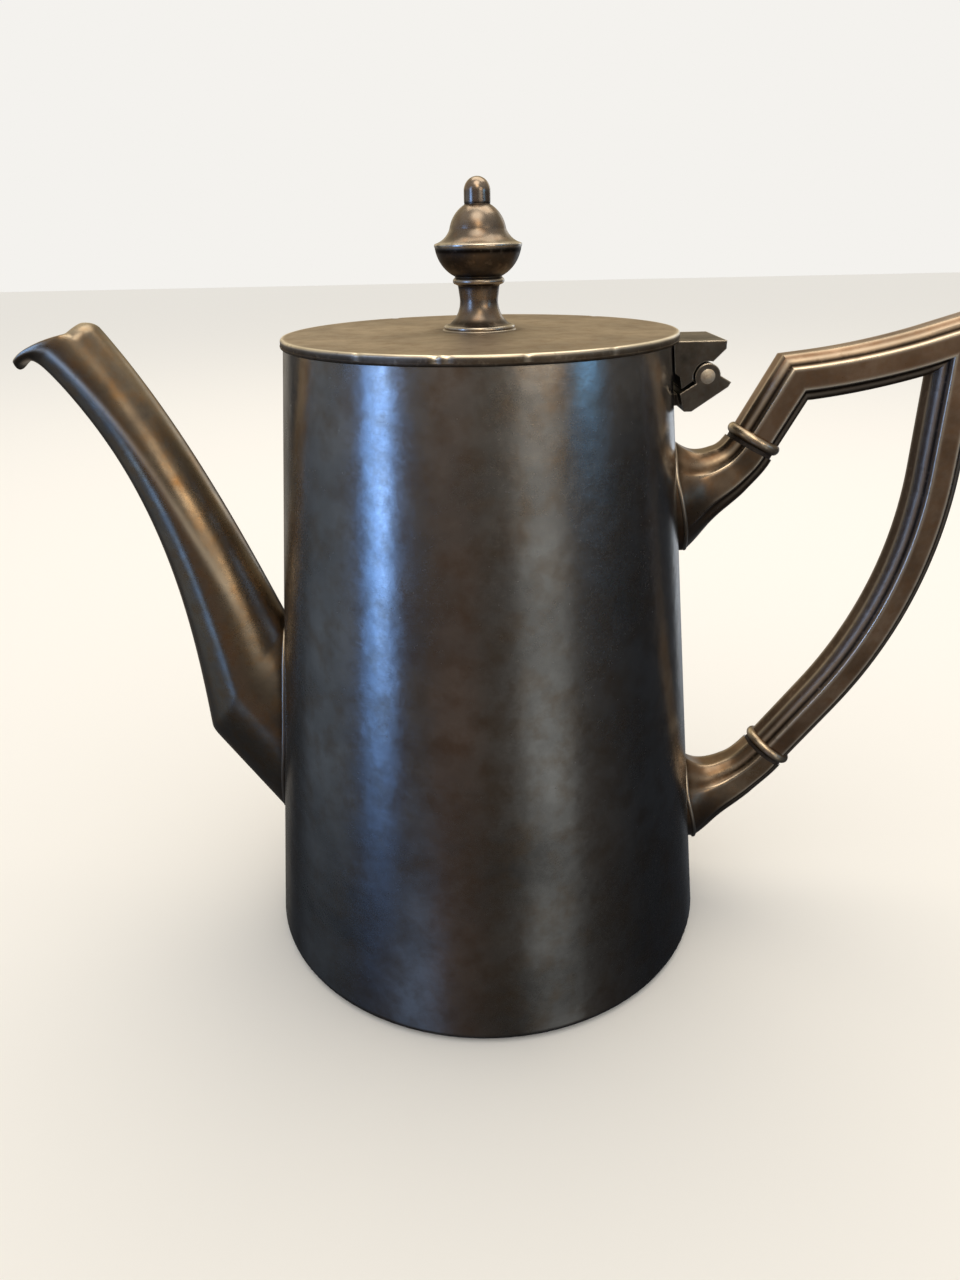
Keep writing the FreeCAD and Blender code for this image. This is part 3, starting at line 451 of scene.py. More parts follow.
def swept(line, normal, across, side):
    """Sections along a line in the pot's middle plane: across is laid along its normals, side along Y."""
    reach = line[:, :1] + normal[:, :1] * across
    height = line[:, 1:] + normal[:, 1:] * across
    return np.stack([reach, np.broadcast_to(side, reach.shape), height], axis=-1)


riser, riser_normal = run_frame(riser_line, 24, 0, FIRST_MITRE)
arm, arm_normal = run_frame(arm_line, 60, FIRST_MITRE, SECOND_MITRE)
grip, grip_normal = run_frame(grip_line, 200, SECOND_MITRE, 0)
stations = np.vstack([riser, first_corner, arm, second_corner, grip])
normals = np.vstack([riser_normal, mitre(riser_normal[-1], arm_normal[0]), arm_normal,
                     mitre(arm_normal[-1], grip_normal[0]), grip_normal])
handle_grid = swept(stations, normals, -handle_section[:, 0], handle_section[:, 1])
# The inner edge is darkened as painted shade.
inner_edge_shade = np.clip((handle_section[:, 0] - INNER_FROM) / INNER_OVER, 0, INNER_SHADE)
handle_grime_and_shade = np.clip(cove_grime(handle_section) + inner_edge_shade, 0, 1)
handle_wear = ridge_wear(handle_section)
handle = stand_for(mesh_piece("handle_casting", handle_grid, handle_wear, handle_grime_and_shade, sharp=40),
                   "handle_grip", "pot")

# %% [markdown]
# ## Sockets
#
# Each socket leaves the body as a broad leaf-shaped foot and narrows to the bead. It was cast and then
# soldered on. A boolean cut against the body would fit it, but leaves ragged edges, so its points are set
# on the wall by formula. The middle line is a curve with one control point: it leaves the wall at a low
# slope and reaches the bead along the handle.

# %% Socket sizes and seat
SOCKET_PLACES = np.array([0.0, 0.22, 0.62, 1.0])
SOCKET_DEPTHS = np.array([26.0, 16.6, 11.0, 10.0])
SOCKET_WIDTHS = np.array([19.5, 13.5, 9.8, 9.4])
SEAT = 0.35


def smooth_through(places, values, at):
    """Smooth curve through a few values: cubic pieces whose slopes are those of their neighbours."""
    slopes = np.gradient(values, places)
    index = np.clip(np.searchsorted(places, at) - 1, 0, len(places) - 2)
    span = places[index + 1] - places[index]
    share = (at - places[index]) / span
    rest = 1 - share
    return (values[index] * rest ** 2 * (1 + 2 * share) + values[index + 1] * share ** 2 * (3 - 2 * share)
            + span * slopes[index] * share * rest ** 2 - span * slopes[index + 1] * share ** 2 * rest)


def set_on_wall(grid, first_rows=0):
    """Push points inside the wall out to a seat just under its face; first_rows go there exactly."""
    reach = np.hypot(grid[..., 0], grid[..., 1])
    seat = (wall_radius(grid[..., 2]) - SEAT) / reach
    push = np.maximum(seat, 1)
    push[:first_rows] = seat[:first_rows]
    grid[..., :2] *= push[..., None]


half_way = smooth_through(SOCKET_PLACES, SOCKET_DEPTHS, np.array([0.5]))
print("a socket is", SOCKET_DEPTHS[0], "mm deep at the wall and", half_way[0].round(1), "half way along")

# %% Socket shape
SOCKET_ROWS, ROWS_TO_FOOT, LEAF_REACH, LEAF_WIDTH = 110, 1.4, 0.45, 0.96
FOOT_ANGLE = math.radians(14)


def socket_line(ring, angle, foot_height, share):
    """Points and left normals of a socket's middle line: a quadratic curve from the wall to the bead."""
    face = ring - (HALF_COLLAR + INSULATOR) * heading(angle)
    foot = np.array([wall_radius(foot_height), foot_height])
    lift = face - foot
    slope = math.tan(FOOT_ANGLE)
    back = (lift[1] - lift[0] * slope) / (math.sin(angle) - math.cos(angle) * slope)
    corner = face - back * heading(angle)
    line = (1 - share) ** 2 * foot + 2 * share * (1 - share) * corner + share ** 2 * face
    tangent = (1 - share) * (corner - foot) + share * (face - corner)
    tangent /= np.linalg.norm(tangent, axis=1, keepdims=True)
    return line, np.stack([-tangent[:, 1], tangent[:, 0]], axis=1)


def socket_grid(ring, angle, foot_height):
    """Sections swept from the foot on the wall to the bead's face, with their wear and grime.

    Towards the foot each section is drawn in to a leaf: its width falls off with the square of the depth.
    """
    share = np.linspace(0, 1, SOCKET_ROWS)[:, None] ** ROWS_TO_FOOT
    line, normal = socket_line(ring, angle, foot_height, share)
    section = moulded_section(SOCKET_DEPTHS[-1], SOCKET_WIDTHS[-1])
    part_across = -section[:, 0] / section[:, 0].max()
    part_side = section[:, 1] / section[:, 1].max()
    leaf = np.sign(part_side) * (1 - part_across ** 2) * LEAF_WIDTH
    leaf_share = np.clip(1 - share / LEAF_REACH, 0, 1) ** 1.5
    width = smooth_through(SOCKET_PLACES, SOCKET_WIDTHS, share)
    side = (part_side * (1 - leaf_share) + leaf * leaf_share) * width / 2
    across = part_across * smooth_through(SOCKET_PLACES, SOCKET_DEPTHS, share) / 2
    grid = swept(line, normal, across, side)
    set_on_wall(grid, first_rows=1)
    wear_and_highlight = ridge_wear(section) * np.clip(share * 1.3, 0, 0.9)
    by_wall = bump_at(height_over_wall(grid), 0.6, 0.7)
    grime_and_shade = np.clip(cove_grime(section) * np.clip(share * 1.5, 0, 1) + 0.6 * by_wall, 0, 1)
    return grid, wear_and_highlight, grime_and_shade


print("a socket has", SOCKET_ROWS, "sections of", SECTION_POINTS, "points")

# %% [markdown]
# ## Solder
#
# Where a cast piece meets the body, solder was run round the joint and wiped, which leaves a thin bead.
# A bump in a material would look painted on, so the bead is a tube of its own. It follows the line where
# the piece leaves the wall, which is read from the piece's own grid.

# %% Solder
SEAM_POINTS, SEAM_SIDES, SEAM_RISE, SEAM_WEAR = 240, 12, 0.05, 0.55


def seam_ring(grid):
    """Closed line where a swept piece leaves the wall: each column's first point outside it."""
    row = np.argmax(height_over_wall(grid) > SEAM_RISE, axis=0)
    return grid[row, np.arange(grid.shape[1])]


def tube_grid(ring, radius):
    """Round bead along a closed line: circles set across the line and the outward direction."""
    along_line = np.roll(ring, -1, axis=0) - np.roll(ring, 1, axis=0)
    along_line /= np.linalg.norm(along_line, axis=1, keepdims=True) + 1e-9
    out = ring * (1, 1, 0)
    out /= np.linalg.norm(out, axis=1, keepdims=True)
    across = np.cross(along_line, out)
    angle = full_turn(SEAM_SIDES)[:, None, None]
    return ring[None] + radius * np.cos(angle) * out[None] + radius * np.sin(angle) * across[None]


def solder_run(name, ring, radius, body):
    """Thin run of solder along a closed line, on a body."""
    ring = soften(resample(ring, SEAM_POINTS, closed=True), 9, closed=True)
    tube = tube_grid(resample(ring, SEAM_POINTS, closed=True), radius)
    piece = mesh_piece(name, np.concatenate([tube, tube[:1]]), SEAM_WEAR)
    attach(piece, body)
    return piece


print("solder follows a line of", SEAM_POINTS, "points")

# %% Sockets and their solder
UPPER_FOOT, LOWER_FOOT = 98.9, 25.0
SOCKET_SEAM, FINIAL_SEAM = 0.42, 0.34

sockets, seams = [], []
for node, ring, angle, foot_height in (
    ("upper_handle_socket", UPPER_RING, UPPER_ANGLE, UPPER_FOOT),
    ("lower_handle_socket", LOWER_RING, LOWER_ANGLE, LOWER_FOOT),
):
    grid, wear_and_highlight, grime_and_shade = socket_grid(ring, angle, foot_height)
    piece = mesh_piece(node.replace("socket", "flare"), grid, wear_and_highlight, grime_and_shade)
    sockets.append(stand_for(piece, node, "pot"))
    seam_name = node.replace("socket", "solder")
    seams.append(solder_run(seam_name, seam_ring(grid), SOCKET_SEAM, "pot"))

foot_angles = full_turn(SEAM_POINTS)
foot_reach = FINIAL_FOOT + 0.2 + 0.15 * wander(foot_angles, waves=14, seed=6)
foot_line = np.stack([foot_reach * np.cos(foot_angles) + LID_SETBACK, foot_reach * np.sin(foot_angles),
                      np.full(SEAM_POINTS, finial_base - 0.12)], axis=-1)
seams.append(solder_run("finial_solder", foot_line, FINIAL_SEAM, "lid"))

# %% [markdown]
# ## Beads
#
# A turned bead closes each joint between handle and socket. A torus would be too round: the real one is a
# half-round on a short sleeve. So its profile is turned like the finial's, leaned over to lie across the
# handle and moved to its joint. Its crown is bright, and the groove beside it keeps dark polish.

# %% Beads
BEAD_BORE, BEAD_FOOT, BEAD_TURN = 2.65, 4.7, 170
CROWN_FROM, CROWN_OVER = 5.2, 0.45
GROOVE_FROM, GROOVE_OVER, GROOVE_GRIME = 4.9, 0.4, 0.8

bead_outline = arc_outline([
    (BEAD_BORE, -HALF_COLLAR),
    (BEAD_FOOT, -HALF_COLLAR),
    (BEAD_FOOT, HALF_COLLAR),
    (BEAD_BORE, HALF_COLLAR),
], {1: BEAD_TURN}, closed=True)
bead_profile = soften(resample(bead_outline, 160, closed=True), 3, closed=True)
bead_profile = np.vstack([bead_profile, bead_profile[:1]])
bead_angles = full_turn(96)
bead_crown = np.clip((bead_profile[:, :1] - CROWN_FROM) / CROWN_OVER, 0, 1)
bead_wear = bead_crown * (0.8 + 0.25 * wander(bead_angles, waves=9, seed=2))
bead_grime = np.clip((GROOVE_FROM - bead_profile[:, :1]) / GROOVE_OVER, 0, GROOVE_GRIME)
upright = turned_grid(bead_profile, bead_angles)
beads = []
for node, ring, angle in (
    ("upper_collar", UPPER_RING, UPPER_ANGLE),
    ("lower_collar", LOWER_RING, LOWER_ANGLE),
):
    lean = math.pi / 2 - angle
    grid = np.stack([
        upright[..., 0] * math.cos(lean) + upright[..., 2] * math.sin(lean) + ring[0],
        upright[..., 1],
        upright[..., 2] * math.cos(lean) - upright[..., 0] * math.sin(lean) + ring[1],
    ], axis=-1)
    piece = mesh_piece(node.replace("collar", "bead"), grid, bead_wear, bead_grime)
    beads.append(stand_for(piece, node, "pot"))

# %% [markdown]
# ## Spout
#
# The spout was pressed from sheet as two halves and seamed: a horn between an upper curve and a keel, with
# a lip that turns down so that it pours without dripping. It could be sculpted from a bent cone, but both
# curves can be seen in the pot's middle plane, so they are drawn, and the horn is a section set between
# them at each station. The outside, the rolled rim and the inside make one skin.

# %% Spout curves
SPOUT_FOOT = -wall_radius(72.0)
UPPER_START = np.array([SPOUT_FOOT, 72.0])
KEEL_START = np.array([SPOUT_FOOT - 20.0, 45.5])
ROOT_TOP = np.array([-wall_radius(58.0) + 12.0, 58.0])
ROOT_KEEL = np.array([-wall_radius(17.5) + 4.0, 17.5])
PEAK = np.array([SPOUT_FOOT - 31.0, 135.3])
LIP_TURN = np.array([SPOUT_FOOT - 41.7, 127.5])
LIP_CURL = LIP_TURN + (-3.0, 0.5)
LIP_END = LIP_TURN + (-4.2, -2.2)
LIP_TOP = LIP_END + (0, 6.6)
UPPER_LEAVES, UPPER_ARRIVES, UPPER_PULL = 111, 127, 22
KEEL_LEAVES, KEEL_ARRIVES, KEEL_PULL = 91, 130, 30
ROOT_STEPS, HORN_STEPS, LIP_STEPS = 30, 150, 40
LIP_SOFT_FROM, LIP_SOFT_OVER = 140, 20


def leaving(angle, pull):
    """Vector of a length at an angle given in degrees."""
    return pull * heading(math.radians(angle))


def cubic(start, first, second, stop, share):
    """Points of a cubic curve with two control points: their weights are the cubic powers of the share."""
    rest = 1 - share
    return (rest ** 3 * start + 3 * rest ** 2 * share * first
            + 3 * rest * share ** 2 * second + share ** 3 * stop)


root_share = np.linspace(0, 1, ROOT_STEPS, endpoint=False)[:, None]
horn_share = np.linspace(0, 1, HORN_STEPS, endpoint=False)[:, None]
lip_share = np.linspace(0, 1, LIP_STEPS)[:, None]
lip_rest = 1 - lip_share
top_line = np.vstack([
    ROOT_TOP + (UPPER_START - ROOT_TOP) * root_share,
    cubic(UPPER_START, UPPER_START + leaving(UPPER_LEAVES, UPPER_PULL),
          PEAK - leaving(UPPER_ARRIVES, UPPER_PULL), PEAK, horn_share),
    PEAK + (LIP_TOP - PEAK) * lip_share,
])
keel_line = np.vstack([
    ROOT_KEEL + (KEEL_START - ROOT_KEEL) * root_share,
    cubic(KEEL_START, KEEL_START + leaving(KEEL_LEAVES, KEEL_PULL),
          LIP_TURN - leaving(KEEL_ARRIVES, KEEL_PULL), LIP_TURN, horn_share),
    lip_rest ** 2 * LIP_TURN + 2 * lip_share * lip_rest * LIP_CURL + lip_share ** 2 * LIP_END,
])
at_lip = np.clip((np.arange(len(keel_line)) - LIP_SOFT_FROM) / LIP_SOFT_OVER, 0, 1)[:, None]
keel_line = soften(keel_line, 3) * (1 - at_lip) + soften(keel_line, 13) * at_lip
print("spout's peak at", PEAK.round(1), "and lip's end at", LIP_END.round(1))

# %% [markdown]
# Each section is half an ellipse above, drawn to a keel below. The keel is sharp at the root and gone at
# the mouth. The last row isn't one station: at the sides it stops at the mouth and below it runs on to
# the lip's end, which gives the swooping edge.

# %% Spout sections
SPOUT_WALL, ROOT_HALF, MOUTH_HALF, LIP_HALF = 1.3, 10.5, 5.9, 3.4
KEEL_POWER, KEEL_SHARE, TAPER_POWER, LIP_POWER = 1.55, 0.75, 1.7, 1.5
MOUTH_SIDE, MOUTH_SWOOP = math.radians(55), math.radians(62)
MOUTH_STATION = ROOT_STEPS + HORN_STEPS
STATION_COUNT = MOUTH_STATION + LIP_STEPS

root_left = np.concatenate([np.ones(ROOT_STEPS), (1 - horn_share[:, 0]) ** TAPER_POWER, np.zeros(LIP_STEPS)])
half_widths = MOUTH_HALF + (ROOT_HALF - MOUTH_HALF) * root_left
half_widths[-LIP_STEPS:] += (LIP_HALF - MOUTH_HALF) * lip_share[:, 0] ** LIP_POWER
spout_angles = np.linspace(-math.pi, math.pi, 144, endpoint=False)
lip_reach = np.clip((np.abs(spout_angles) - MOUTH_SIDE) / MOUTH_SWOOP, 0, 1)
last_station = MOUTH_STATION + (STATION_COUNT - 1 - MOUTH_STATION) * lip_reach ** 2 * (3 - 2 * lip_reach)


def spout_skin(rows, inset):
    """Points of the horn at fractional stations, one row of stations per angle, drawn in by an inset.

    Height goes with the cosine of the angle, and width with its sine; below, the width turns into one
    less a power of the depth, which makes the keel.
    """
    index = np.arange(STATION_COUNT)
    top, keel = read_line(rows, index, top_line), read_line(rows, index, keel_line)
    depth = np.linalg.norm(top - keel, axis=-1, keepdims=True)
    upward = (top - keel) / depth
    height, width = np.cos(spout_angles), np.sin(spout_angles)
    keeled = np.where(height < 0, KEEL_SHARE * np.interp(rows, index, root_left), 0)
    width = width * (1 - keeled) + np.sign(width) * (1 - np.maximum(-height, 0) ** KEEL_POWER) * keeled
    middle = (top + keel) / 2 + upward * ((depth / 2 - inset[..., None]) * height[..., None])
    side = (np.interp(rows, index, half_widths) - inset) * width
    grid = np.stack([middle[..., 0], side, middle[..., 1]], axis=-1)
    set_on_wall(grid)
    return grid


print(f"spout: {2 * ROOT_HALF:.1f} mm wide at the root, {2 * MOUTH_HALF:.1f} mm at the mouth")

# %% Spout skin
RIM_WALL, PEAK_TURN, TURN_ROWS, ROLL_OUT = 0.45, 0.9, 6, 0.6

spout_rows = np.linspace(0, 1, 200)[:, None] * last_station
rim_turn = SPOUT_WALL - RIM_WALL + PEAK_TURN * (1 - lip_reach)
turned_in = rim_turn * np.clip(1 - (last_station - spout_rows) / TURN_ROWS, 0, 1) ** 2
outside = spout_skin(spout_rows, turned_in)
inside = spout_skin(spout_rows[::-1], np.maximum(turned_in[::-1] + RIM_WALL, SPOUT_WALL))
roll_angles = np.linspace(0, math.pi, 9)[1:-1, None]
rolled_rim = spout_skin(last_station + ROLL_OUT * np.sin(roll_angles),
                        rim_turn + RIM_WALL * (1 - np.cos(roll_angles)) / 2)
spout_grid = np.concatenate([outside, rolled_rim, inside, outside[:1]])
print("spout rows:", len(outside), "outside,", len(rolled_rim), "round the rim,", len(inside), "inside")

# %% Spout wear and painted highlight
RIM_WEAR, CREST_HIGHLIGHT, CREST_HALF, SPOUT_SEAM = 0.45, 0.75, 0.09, 0.4
CREST_AT_MOUTH, CREST_TWIST = 106, 70
BORE_START = len(outside) + len(rolled_rim)

along = np.clip(spout_rows / MOUTH_STATION, 0, 1)
crest_angle = np.radians(CREST_AT_MOUTH - CREST_TWIST * (1 - along))
# The bright streak along the crest is a painted highlight.
crest_highlight = CREST_HIGHLIGHT * bump_at(np.abs(spout_angles), crest_angle, CREST_HALF)
crest_highlight = crest_highlight * np.clip((along - 0.25) / 0.3, 0, 1)
spout_wear_and_highlight = np.zeros(spout_grid.shape[:2])
spout_wear_and_highlight[:len(outside)] = np.clip(RIM_WEAR * bump_at(spout_rows, last_station, 3.0) + crest_highlight, 0, 1)
spout_wear_and_highlight[len(outside):BORE_START] = RIM_WEAR
# Darker inside the bore and next to the body's wall.
in_bore = np.arange(len(spout_grid))[:, None] > BORE_START + 8
at_wall = bump_at(height_over_wall(spout_grid), 0.5, 0.9)
spout_darkening = np.clip(0.7 * in_bore + 0.6 * at_wall, 0, 1)
spout = stand_for(mesh_piece("spout_horn", spout_grid, spout_wear_and_highlight, spout_darkening),
                  "spout", "pot")
seams.append(solder_run("spout_solder", seam_ring(outside), SPOUT_SEAM, "pot"))

# %% [markdown]
# ## Materials
#
# All of the visible metal is silver plate that has not been polished for years. Tarnish is a thin brown
# to blue-grey film: it darkens the metal in soft clouds, keeps a satin gloss, and is rubbed away at edges.
# Painted textures could show it, but would need an unwrapped mesh. Noise in Object coordinates needs none,
# and its scale can be set from real sizes in millimetres.

# %% Node tools
def colour(code):
    """Linear colour from a six-figure sRGB code, by the sRGB curve."""
    parts = [int(code[index:index + 2], 16) / 255 for index in (0, 2, 4)]
    return [part / 12.92 if part <= 0.04045 else ((part + 0.055) / 1.055) ** 2.4 for part in parts] + [1.0]


def add(tree, kind, inputs=None, out=0, **settings):
    """One node with its settings and links; hands back its output named out.

    An input is a number, a colour or another node's output.
    """
    node = tree.nodes.new(kind)
    for key, setting in settings.items():
        setattr(node, key, setting)
    for key, given in (inputs or {}).items():
        if isinstance(given, bpy.types.NodeSocket):
            tree.links.new(given, node.inputs[key])
        else:
            node.inputs[key].default_value = given
    return node.outputs[out]


def cloudy(tree, place, size, low, high, detail=4.0, stretch=(1, 1, 1)):
    """Cloudy pattern from 0 to 1 with features of a size in millimetres, cut off at low and high."""
    stretched = add(tree, "ShaderNodeMapping", {"Vector": place, "Scale": stretch})
    noise = add(tree, "ShaderNodeTexNoise", {
        "Vector": stretched, "Scale": 1 / (size * MM), "Detail": detail, "Roughness": 0.6})
    return add(tree, "ShaderNodeMapRange", {"Value": noise, "From Min": low, "From Max": high})


print("mid grey 808080 is", round(colour("808080")[0], 3), "in linear light")

# %% [markdown]
# One function makes every plated finish, because they differ only in tint, gloss and scale. Tarnish,
# brown patches, specks, painted shade towards the body's foot, and grime with painted shade are laid over
# the bright metal one after the other, and wear with painted highlight comes last and takes them off again.
# The same patterns drive the roughness and the relief, so a speck is dark, dull and sunk at once.

# %% Tarnish and wear
ROUND_THE_POT, ALONG_THE_POT = (1, 1, 14), (1, 9, 1)


def tarnish_patterns(tree, place, cloud_size, scratch):
    """Patterns of a tarnished face by name, from 0 to 1: size, cut off below and above, and detail."""
    settings = {
        "clouds": (cloud_size, 0.32, 0.68, 6),  # the film, thick and thin
        "mottle": (cloud_size / 5, 0.45, 0.75, 8),  # brown patches in it
        "grain": (0.7, 0.3, 0.7, 3),  # tooth of the plating, drawn coarser than it is so that it shows
        "lines": (2.2, 0.56, 0.7, 5, scratch),  # lines from turning and wiping, also drawn coarser
        "specks": (1.0, 0.74, 0.8, 2),  # pits
        "dents": (14, 0.25, 0.75, 1),  # broad dents
        "ripple": (4, 0.2, 0.8, 1),  # unevenness between the dents
        # Streaks break up the grime and the painted shade alike.
        "streaks": (1.2, 0.1, 0.45, 4),  # where grime has come away
        "patches": (1.6, 0.2, 0.5, 5),  # where wear is deepest
    }
    return {name: cloudy(tree, place, *given) for name, given in settings.items()}


def rubbed_edges(put, reach):
    """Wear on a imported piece's edges, where a rounded normal leaves the plain one, and that normal."""
    plain = put("ShaderNodeNewGeometry", out="Normal")
    rounded = put("ShaderNodeBevel", {"Radius": reach * MM}, samples=6)
    facing = put("ShaderNodeVectorMath", {0: plain, 1: rounded}, "Value", operation="DOT_PRODUCT")
    return put("ShaderNodeMapRange", {"Value": facing, "From Min": 0.97, "From Max": 0.8}), rounded


def use(material, *objects):
    """Give objects one material in place of those they have."""
    for item in objects:
        item.data.materials.clear()
        item.data.materials.append(material)


print("lines are", max(ROUND_THE_POT), "times as long as wide round the pot")

# %% Tarnished plate
# Tints of pits, of painted shade at the body's foot, and of old polish with painted shade.
SPECK_STAIN, FOOT_SHADE_TINT, POLISH_AND_SHADE = "2a231c", "2b2b2e", "1f1914"
FOOT_SHADE_TOP = 0.075
DENT_DEPTH, RELIEF_DEPTH = 0.0004, 0.00004


def plate(name, tints, gloss, cloud_size, painted_foot_shade=0.0, scratch=ROUND_THE_POT, edges=0.0,
          rubbed_rough=-0.1):
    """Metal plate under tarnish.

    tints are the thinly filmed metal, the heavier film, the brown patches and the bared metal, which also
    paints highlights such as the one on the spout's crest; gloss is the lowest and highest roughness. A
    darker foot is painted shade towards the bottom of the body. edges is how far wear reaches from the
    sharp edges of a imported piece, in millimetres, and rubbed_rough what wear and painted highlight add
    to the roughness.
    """
    material = bpy.data.materials.new(name)
    material.use_nodes = True
    tree = material.node_tree
    put = partial(add, tree)
    shader = tree.nodes["Principled BSDF"]
    shader.inputs["Metallic"].default_value = 1.0
    bright, film, brown, bared_and_highlight_tint = tints
    place = put("ShaderNodeTexCoord", out="Object")
    seen = tarnish_patterns(tree, place, cloud_size, scratch)
    clouds, grain, specks = seen["clouds"], seen["grain"], seen["specks"]
    # Old polish in grooves, and painted shade on some faces, read from each point.
    grime_and_shade = put("ShaderNodeAttribute", out="Fac", attribute_name="grime_and_shade")
    grime_and_shade = put("ShaderNodeMath", {0: grime_and_shade, 1: seen["streaks"]}, operation="MULTIPLY")
    hollow = {"Strength": 0.25, "Distance": DENT_DEPTH}
    # Wear bares the metal, and the spout's crest gets a painted highlight the same way.
    if edges:
        rubbed_and_highlit, hollow["Normal"] = rubbed_edges(put, edges)
    else:
        rubbed_and_highlit = put("ShaderNodeAttribute", out="Fac", attribute_name="wear_and_highlight")
    patchy = put("ShaderNodeMath", {0: seen["patches"], 1: 0.25}, operation="ADD", use_clamp=True)
    rubbed_and_highlit = put("ShaderNodeMath", {0: rubbed_and_highlit, 1: patchy}, operation="MULTIPLY")

    layers = [(clouds, 1.0, film), (seen["mottle"], 0.75, brown), (specks, 0.4, SPECK_STAIN)]
    # Painted shade: the body grows darker towards its foot.
    if painted_foot_shade:
        height = put("ShaderNodeSeparateXYZ", {0: place}, "Z")
        low = put("ShaderNodeMapRange", {"Value": height, "From Min": FOOT_SHADE_TOP, "From Max": 0.0})
        layers.append((low, painted_foot_shade, FOOT_SHADE_TINT))
    layers += [(grime_and_shade, 1.0, POLISH_AND_SHADE), (rubbed_and_highlit, 1.0, bared_and_highlight_tint)]
    tint = colour(bright)
    for share, most, stain in layers:
        cover = put("ShaderNodeMath", {0: share, 1: most}, operation="MULTIPLY", use_clamp=True)
        tint = put("ShaderNodeMix", {0: cover, 6: tint, 7: colour(stain)}, 2, data_type="RGBA")
    tree.links.new(tint, shader.inputs["Base Color"])

    satin = put("ShaderNodeMapRange", {"Value": clouds, "To Min": gloss[0], "To Max": gloss[1]})
    sums = []
    for total, parts in (
        (satin, [(grain, 0.06), (specks, 0.2), (grime_and_shade, 0.2), (rubbed_and_highlit, rubbed_rough)]),
        (0.0, [(seen["lines"], 0.35), (grain, 0.3), (specks, -0.3)]),
        (0.0, [(seen["dents"], 0.6), (seen["ripple"], 0.35)]),
    ):
        for pattern, weight in parts:
            total = put("ShaderNodeMath", {0: pattern, 1: weight, 2: total},
                        operation="MULTIPLY_ADD", use_clamp=True)
        sums.append(total)
    rough, relief, hollow["Height"] = sums
    tree.links.new(rough, shader.inputs["Roughness"])
    uneven = put("ShaderNodeBump", hollow)
    fine = {"Height": relief, "Strength": 0.2, "Distance": RELIEF_DEPTH}
    tree.links.new(put("ShaderNodeBump", {**fine, "Normal": uneven}), shader.inputs["Normal"])
    print(f"{name}: {len(tree.nodes)} nodes")
    return material


print(f"the foot's shade reaches {FOOT_SHADE_TOP / MM:.0f} mm up the body")

# %% [markdown]
# The finishes differ by how each piece was made and handled. Tints are matched to the object: greyest on
# the body, brownest on the handle.

# %% Finishes of body, spout and lid
# Spun on a lathe: the glossiest satin, with broad clouds, lines round the pot and painted shade towards the
# foot.
use(plate("tarnished_silver_plate_spun_body", ("b4b3b1", "787776", "877663", "dad8d4"), (0.15, 0.27), 26,
          painted_foot_shade=0.3),
    nodes["body_shell"], nodes["base_plate"])
# Pressed and seamed: a bronze film, and a painted highlight along the crest, roughened so that it shines
# softly.
use(plate("tarnished_silver_plate_seamed_spout", ("b5a58f", "6f6860", "a07c50", "fbf0dc"), (0.2, 0.34), 20,
          rubbed_rough=0.12),
    spout)
# Pressed and often wiped: the dullest face, with fine lines across it and a bright rim.
use(plate("tarnished_silver_plate_matt_lid", ("b3a491", "857a6c", "806b54", "fbf4e4"), (0.38, 0.5), 16,
          scratch=ALONG_THE_POT),
    lid, nodes["lid_flange"])
# Turned from bar: small and glossy, with brown film in the hollows and painted shade under the cup.
use(plate("tarnished_silver_plate_turned_finial", ("a89d92", "645c55", "907863", "f6f0e4"), (0.18, 0.3), 9),
    finial)

# %% Finishes of handle, hinge and joints
# Cast and held every day: a brown satin film with bright ridges.
use(plate("brown_tarnished_silver_plate_cast_handle", ("9c8470", "6e5b4b", "7f6148", "f6ecdc"),
          (0.28, 0.42), 12),
    handle)
# Cast, and seldom touched: darker than the handle.
use(plate("tarnished_silver_plate_cast_socket", ("907c68", "574b40", "77593d", "eee2d0"), (0.22, 0.36), 12),
    *sockets)
# Sawn and filed: flat dark grey faces with bright edges.
use(plate("tarnished_silver_plate_filed_hinge", ("7c766f", "4b4844", "5d5349", "f6eee0"), (0.3, 0.44), 7,
          edges=0.45),
    nodes["hinge_bracket"], nodes["lid_hinge_lug"])
# Turned: a dull ring with a bright crown.
use(plate("silver_plate_turned_bead", ("8f7d69", "5a4d41", "745a40", "e6d8c2"), (0.32, 0.44), 6), *beads)
# Soft solder wiped while hot: a thin, paler, uneven line.
use(plate("soft_solder_wiped_seam", ("9c9285", "6d645a", "7a6a58", "d9d2c6"), (0.3, 0.42), 3), *seams)
# Nickel silver hammered over at its ends: pale and matt.
use(plate("nickel_silver_peened_pin", ("f0eadf", "d2cabd", "c4b19a", "fbf7ee"), (0.55, 0.7), 2),
    nodes["hinge_pin"], nodes["upper_handle_pin"], nodes["lower_handle_pin"])
# Plain turned brass inside the lid: dull yellow.
use(plate("brass_turned_stud", ("b89a5e", "8a7042", "765a34", "e2c98c"), (0.3, 0.42), 4, edges=0.3),
    nodes["finial_stud"], nodes["finial_washer"], nodes["finial_nut"])

# %% [markdown]
# The heat breaks between sockets and handle are vulcanised fibre, pressed paper turned on a lathe. It could
# be a flat dark brown, but even a thin ring shows that it isn't metal by its dull sheen and fine fleck.

# %% Fibre
fibre = bpy.data.materials.new("vulcanised_fibre_turned_insulator")
fibre.use_nodes = True
put_fibre = partial(add, fibre.node_tree)
fleck = cloudy(fibre.node_tree, put_fibre("ShaderNodeTexCoord", out="Object"), 0.5, 0.4, 0.7, 4)
